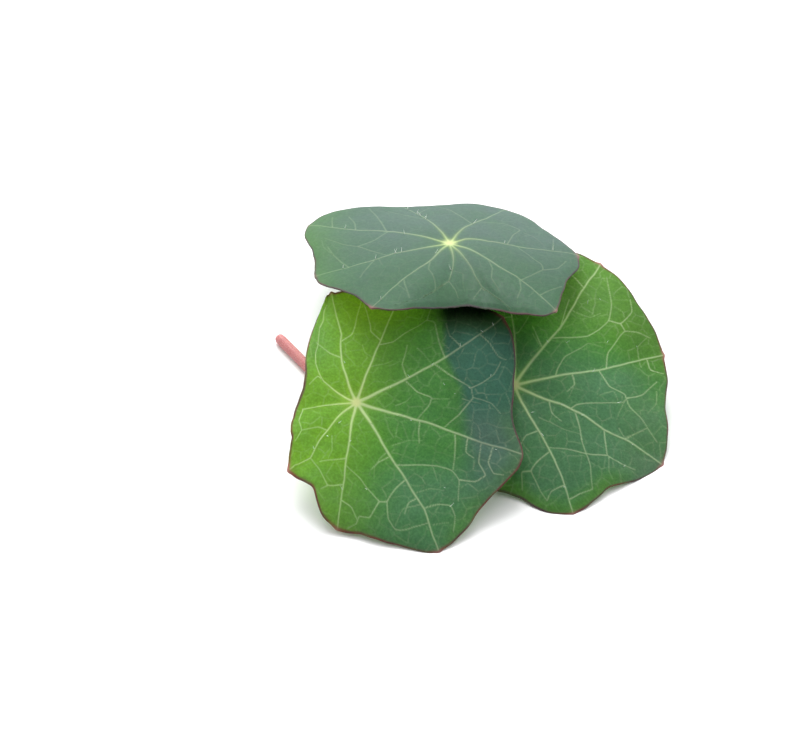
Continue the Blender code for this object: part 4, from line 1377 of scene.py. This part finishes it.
def leaf_material(name, looks):
    """Waxy leaf: green blade with veins, light that comes through it, bloom and a dark edge, with painted
    light, shade, sheen and shadow.
    """
    s = Shader(name)
    wax, fresh_and_lit, dense_and_shaded = s.attribute("wax"), s.attribute("fresh_and_lit"), s.attribute("dense_and_shaded")
    grain = s.noise(*GRAIN).outputs["Fac"]
    speckle = s.mix(1.0, s.spread(grain, *GRAIN_SPAN), s.pattern(MOTTLE, MOTTLE_SPAN), "MULTIPLY")
    speckle = s.mix(looks["speckle"], WHITE, speckle)

    net = s.times(s.attribute("net_vein"), s.pattern(NET_FADE, NET_FADE_SPAN))
    side = s.times(s.attribute("side_vein"), looks["side_veins"])
    veins = s.times(s.maths("MAXIMUM", s.attribute("main_vein"), side), s.spread(dense_and_shaded, *DENSE_AND_SHADED_SPAN))
    veins = s.maths("MAXIMUM", veins, s.times(net, looks["net"]))
    halo = s.attribute("halo")
    hub = s.times(s.attribute("hub"), looks["hub"])
    margin = s.times(s.attribute("margin"), s.pattern(EDGE_BREAKS, EDGE_BREAKS_SPAN))
    redness = s.maths("MAXIMUM", s.attribute("edge_red"), s.pattern(REDNESS, REDNESS_SPAN))
    edge = s.mix(s.times(redness, looks["red_edge"]), looks["edge"], EDGE_RED)
    last_coats = (
        (s.times(s.attribute("tip"), looks["tip"]), TIP_PINK),
        # Painted shadow under the edges of the leaves above
        (s.attribute("painted_shadow"), PAINTED_SHADOW_GREEN),
        (s.attribute("hair"), HAIR_PALE),
    )

    # Fresh green, partly painted light
    green = s.coated(DEEP_GREEN, (fresh_and_lit, FRESH_AND_LIT_GREEN), (s.pattern(PATCH, PATCH_SPAN), SHADE_GREEN))
    # Bloom, which on the top leaf's back is painted sheen
    waxy = s.mix(s.attribute("bloom_and_sheen"), looks["wax"], looks["bloom_and_sheen"])
    face = s.coated(green, (wax, waxy), (s.attribute("below"), UNDERSIDE))
    colour = s.coated(
        s.mix(1.0, face, speckle, "MULTIPLY"),
        (s.times(halo, HALO_SHARE), HALO_YELLOW),
        (s.times(veins, looks["veins"]), VEIN_PALE),
        (hub, HUB_PALE),
        (margin, edge),
        *last_coats,
    )
    rough = s.maths("ADD", s.pattern(GLOSS, GLOSS_SPAN), s.times(wax, WAX_ROUGHNESS))
    pores = s.node("ShaderNodeTexVoronoi", feature="DISTANCE_TO_EDGE")
    s.fill(pores, Vector=s.place(), Scale=1.0 / PORE_SIZE)
    height = s.times(pores.outputs["Distance"], PORE_SHARE)
    normal = s.bump(s.maths("ADD", height, s.times(grain, GRAIN_SHARE)), *LEAF_BUMP)
    s.fill(s.main, Base_Color=colour, Roughness=rough, Normal=normal)
    s.fill(s.main, Specular_IOR_Level=looks["gloss"])

    shining = s.maths("ADD", s.times(veins, looks["vein_glow"]), halo)
    # Less light comes through where the tissue is dense and where painted shade lies
    glow = s.coated(GLOW_DEEP, (fresh_and_lit, GLOW_FRESH_AND_LIT), (wax, GLOW_WAXED), (dense_and_shaded, GLOW_DENSE_AND_SHADED))
    glow = s.coated(
        s.mix(1.0, glow, speckle, "MULTIPLY"),
        (s.maths("MINIMUM", shining, 1.0), GLOW_VEIN),
        (hub, GLOW_HUB),
        (margin, s.mix(looks["red_edge"], GLOW_PURPLE, GLOW_RED)),
        *last_coats,
    )
    through = s.fill(s.node("ShaderNodeBsdfTranslucent"), Color=glow, Normal=normal)
    both = s.node("ShaderNodeMixShader")
    for index, value in enumerate((looks["through"], s.main.outputs[0], through.outputs[0])):
        s.plug(both.inputs[index], value)
    s.fill(s.out, Surface=both.outputs[0])
    return s.material


# Colours of stem and petioles, and their streaks and specks
STEM_RED = (0.46, 0.11, 0.125, 1)
STEM_PINK = (0.62, 0.29, 0.275, 1)
SPECK_PINK = (0.80, 0.48, 0.42, 1)
PETIOLE_GREEN = (0.36, 0.46, 0.16, 1)
PETIOLE_PALE = (0.48, 0.54, 0.24, 1)
CUT_RED = (0.55, 0.27, 0.22, 1)
CUT_PALE = (0.72, 0.45, 0.38, 1)
FLOOR_WHITE = (0.93, 0.93, 0.935, 1)
STREAK_SIZE = 2.5 * MM
STREAKS_ROUND = 6.0
STREAK_SPAN = (0.40, 0.60)
SPECK = (0.25 * MM, 2.0)
SPECK_SPAN = (0.5, 0.75, 0.0, 0.35)
PALE_SPAN = (0.4, 0.7)
STEM_GLOSS_SPAN = (0.3, 0.7, 0.48, 0.62)
CUT_GRAIN, CUT_SPAN = (0.15 * MM, 2.0), (0.3, 0.7)
STEM_BUMP = (0.02 * MM, 0.6)


def stem_material():
    """Moist pink stem with fine streaks, green near the leaves, pale on the cut."""
    s = Shader("stem_skin")
    streak = s.noise(STREAK_SIZE, noise_dimensions="4D")
    s.fill(streak, W=s.times(s.attribute("streak"), STREAKS_ROUND))
    speck = s.noise(*SPECK).outputs["Fac"]
    pink = s.mix(s.spread(streak.outputs["Fac"], *STREAK_SPAN), STEM_RED, STEM_PINK)
    pink = s.mix(s.spread(speck, *SPECK_SPAN), pink, SPECK_PINK)
    pale = s.mix(s.spread(speck, *PALE_SPAN), PETIOLE_GREEN, PETIOLE_PALE)
    cut = s.mix(s.pattern(CUT_GRAIN, CUT_SPAN), CUT_RED, CUT_PALE)
    colour = s.coated(pink, (s.attribute("green"), pale), (s.attribute("cut"), cut))
    s.fill(
        s.main,
        Base_Color=colour,
        Roughness=s.spread(speck, *STEM_GLOSS_SPAN),
        Specular_IOR_Level=0.3,
        Subsurface_Weight=0.35,
        Subsurface_Radius=(1.0, 0.5, 0.4),
        Subsurface_Scale=0.5 * MM,
        Normal=s.bump(speck, *STEM_BUMP),
    )
    return s.material


def floor_material():
    """Plain white matt surface."""
    s = Shader("white_floor")
    s.fill(s.main, Base_Color=FLOOR_WHITE, Roughness=0.9, Specular_IOR_Level=0.2)
    return s.material


def make_floor():
    """Large level floor under the sprig."""
    half = FLOOR_SIZE / 2
    corners = [(-half, -half, 0), (half, -half, 0), (half, half, 0), (-half, half, 0)]
    mesh = bpy.data.meshes.new("floor")
    mesh.from_pydata(corners, [], [(0, 1, 2, 3)])
    mesh.materials.append(floor_material())
    floor = add_object("floor", mesh)
    floor.location.z = -FLOOR_SINK


def aim(thing, position, direction):
    """Put a lamp or camera at a place, looking in a direction."""
    thing.location = position
    thing.rotation_euler = direction.to_track_quat("-Z", "Y").to_euler()


def world_ramp(tree, value, start, end, at_start, at_end):
    """Smooth change of the surroundings' brightness along one direction."""
    ramp = tree.nodes.new("ShaderNodeMapRange")
    ramp.interpolation_type = "SMOOTHSTEP"
    tree.links.new(value, ramp.inputs["Value"])
    for name, number in (("From Min", start), ("From Max", end), ("To Min", at_start), ("To Max", at_end)):
        ramp.inputs[name].default_value = number
    return ramp.outputs["Result"]


def make_light():
    """White surroundings, dim in front and bright behind, and one large soft lamp behind the sprig."""
    world = bpy.data.worlds.new("studio")
    world.use_nodes = True
    tree = world.node_tree
    where = tree.nodes.new("ShaderNodeTexCoord")
    split = tree.nodes.new("ShaderNodeSeparateXYZ")
    tree.links.new(where.outputs["Generated"], split.inputs[0])
    both = tree.nodes.new("ShaderNodeMath")
    both.operation = "MULTIPLY"
    up = world_ramp(tree, split.outputs["Z"], 0.0, 1.0, *WORLD_LOW_HIGH)
    back = world_ramp(tree, split.outputs["Y"], *WORLD_TURN, *WORLD_FRONT_BACK)
    tree.links.new(up, both.inputs[0])
    tree.links.new(back, both.inputs[1])
    background = tree.nodes["Background"]
    tree.links.new(both.outputs[0], background.inputs["Strength"])
    background.inputs["Color"].default_value = WHITE
    bpy.context.scene.world = world

    lamp = bpy.data.lights.new("key", "AREA")
    lamp.shape = "SQUARE"
    lamp.size = KEY_SIZE
    lamp.energy = KEY_POWER
    aim(add_object("key", lamp), KEY_PLACE, -Vector(KEY_PLACE))


def make_camera():
    """The photograph's camera, which looks down at the sprig."""
    data = bpy.data.cameras.new("camera")
    data.sensor_width = SENSOR_WIDTH
    data.lens = SENSOR_WIDTH * CAMERA_DISTANCE / PIXEL_SIZE / IMAGE_WIDTH
    data.clip_start, data.clip_end = CAMERA_CLIP
    camera = add_object("camera", data)
    back = Vector((0, -math.cos(CAMERA_ELEVATION), math.sin(CAMERA_ELEVATION)))
    aim(camera, Vector(CAMERA_AIM) + back * CAMERA_DISTANCE, -back)
    bpy.context.scene.camera = camera


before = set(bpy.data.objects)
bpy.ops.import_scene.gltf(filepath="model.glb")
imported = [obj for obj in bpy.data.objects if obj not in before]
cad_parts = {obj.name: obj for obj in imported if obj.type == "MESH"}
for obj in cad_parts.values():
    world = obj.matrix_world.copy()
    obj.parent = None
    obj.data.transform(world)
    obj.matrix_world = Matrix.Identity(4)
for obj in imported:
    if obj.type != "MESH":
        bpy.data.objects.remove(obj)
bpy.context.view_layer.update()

noise.seed_set(NOISE_SEED)
bpy.context.scene.view_settings.view_transform = "Standard"
for node, leaf in LEAVES.items():
    blade = leaf_blade(node, leaf, leaf_material("skin_of_" + node, LEAF_LOOKS[node]))
    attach(blade, "root")
    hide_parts(node)

stem = stem_skin(stem_material())
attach(stem, "root")
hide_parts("stem")

make_floor()
make_light()
make_camera()
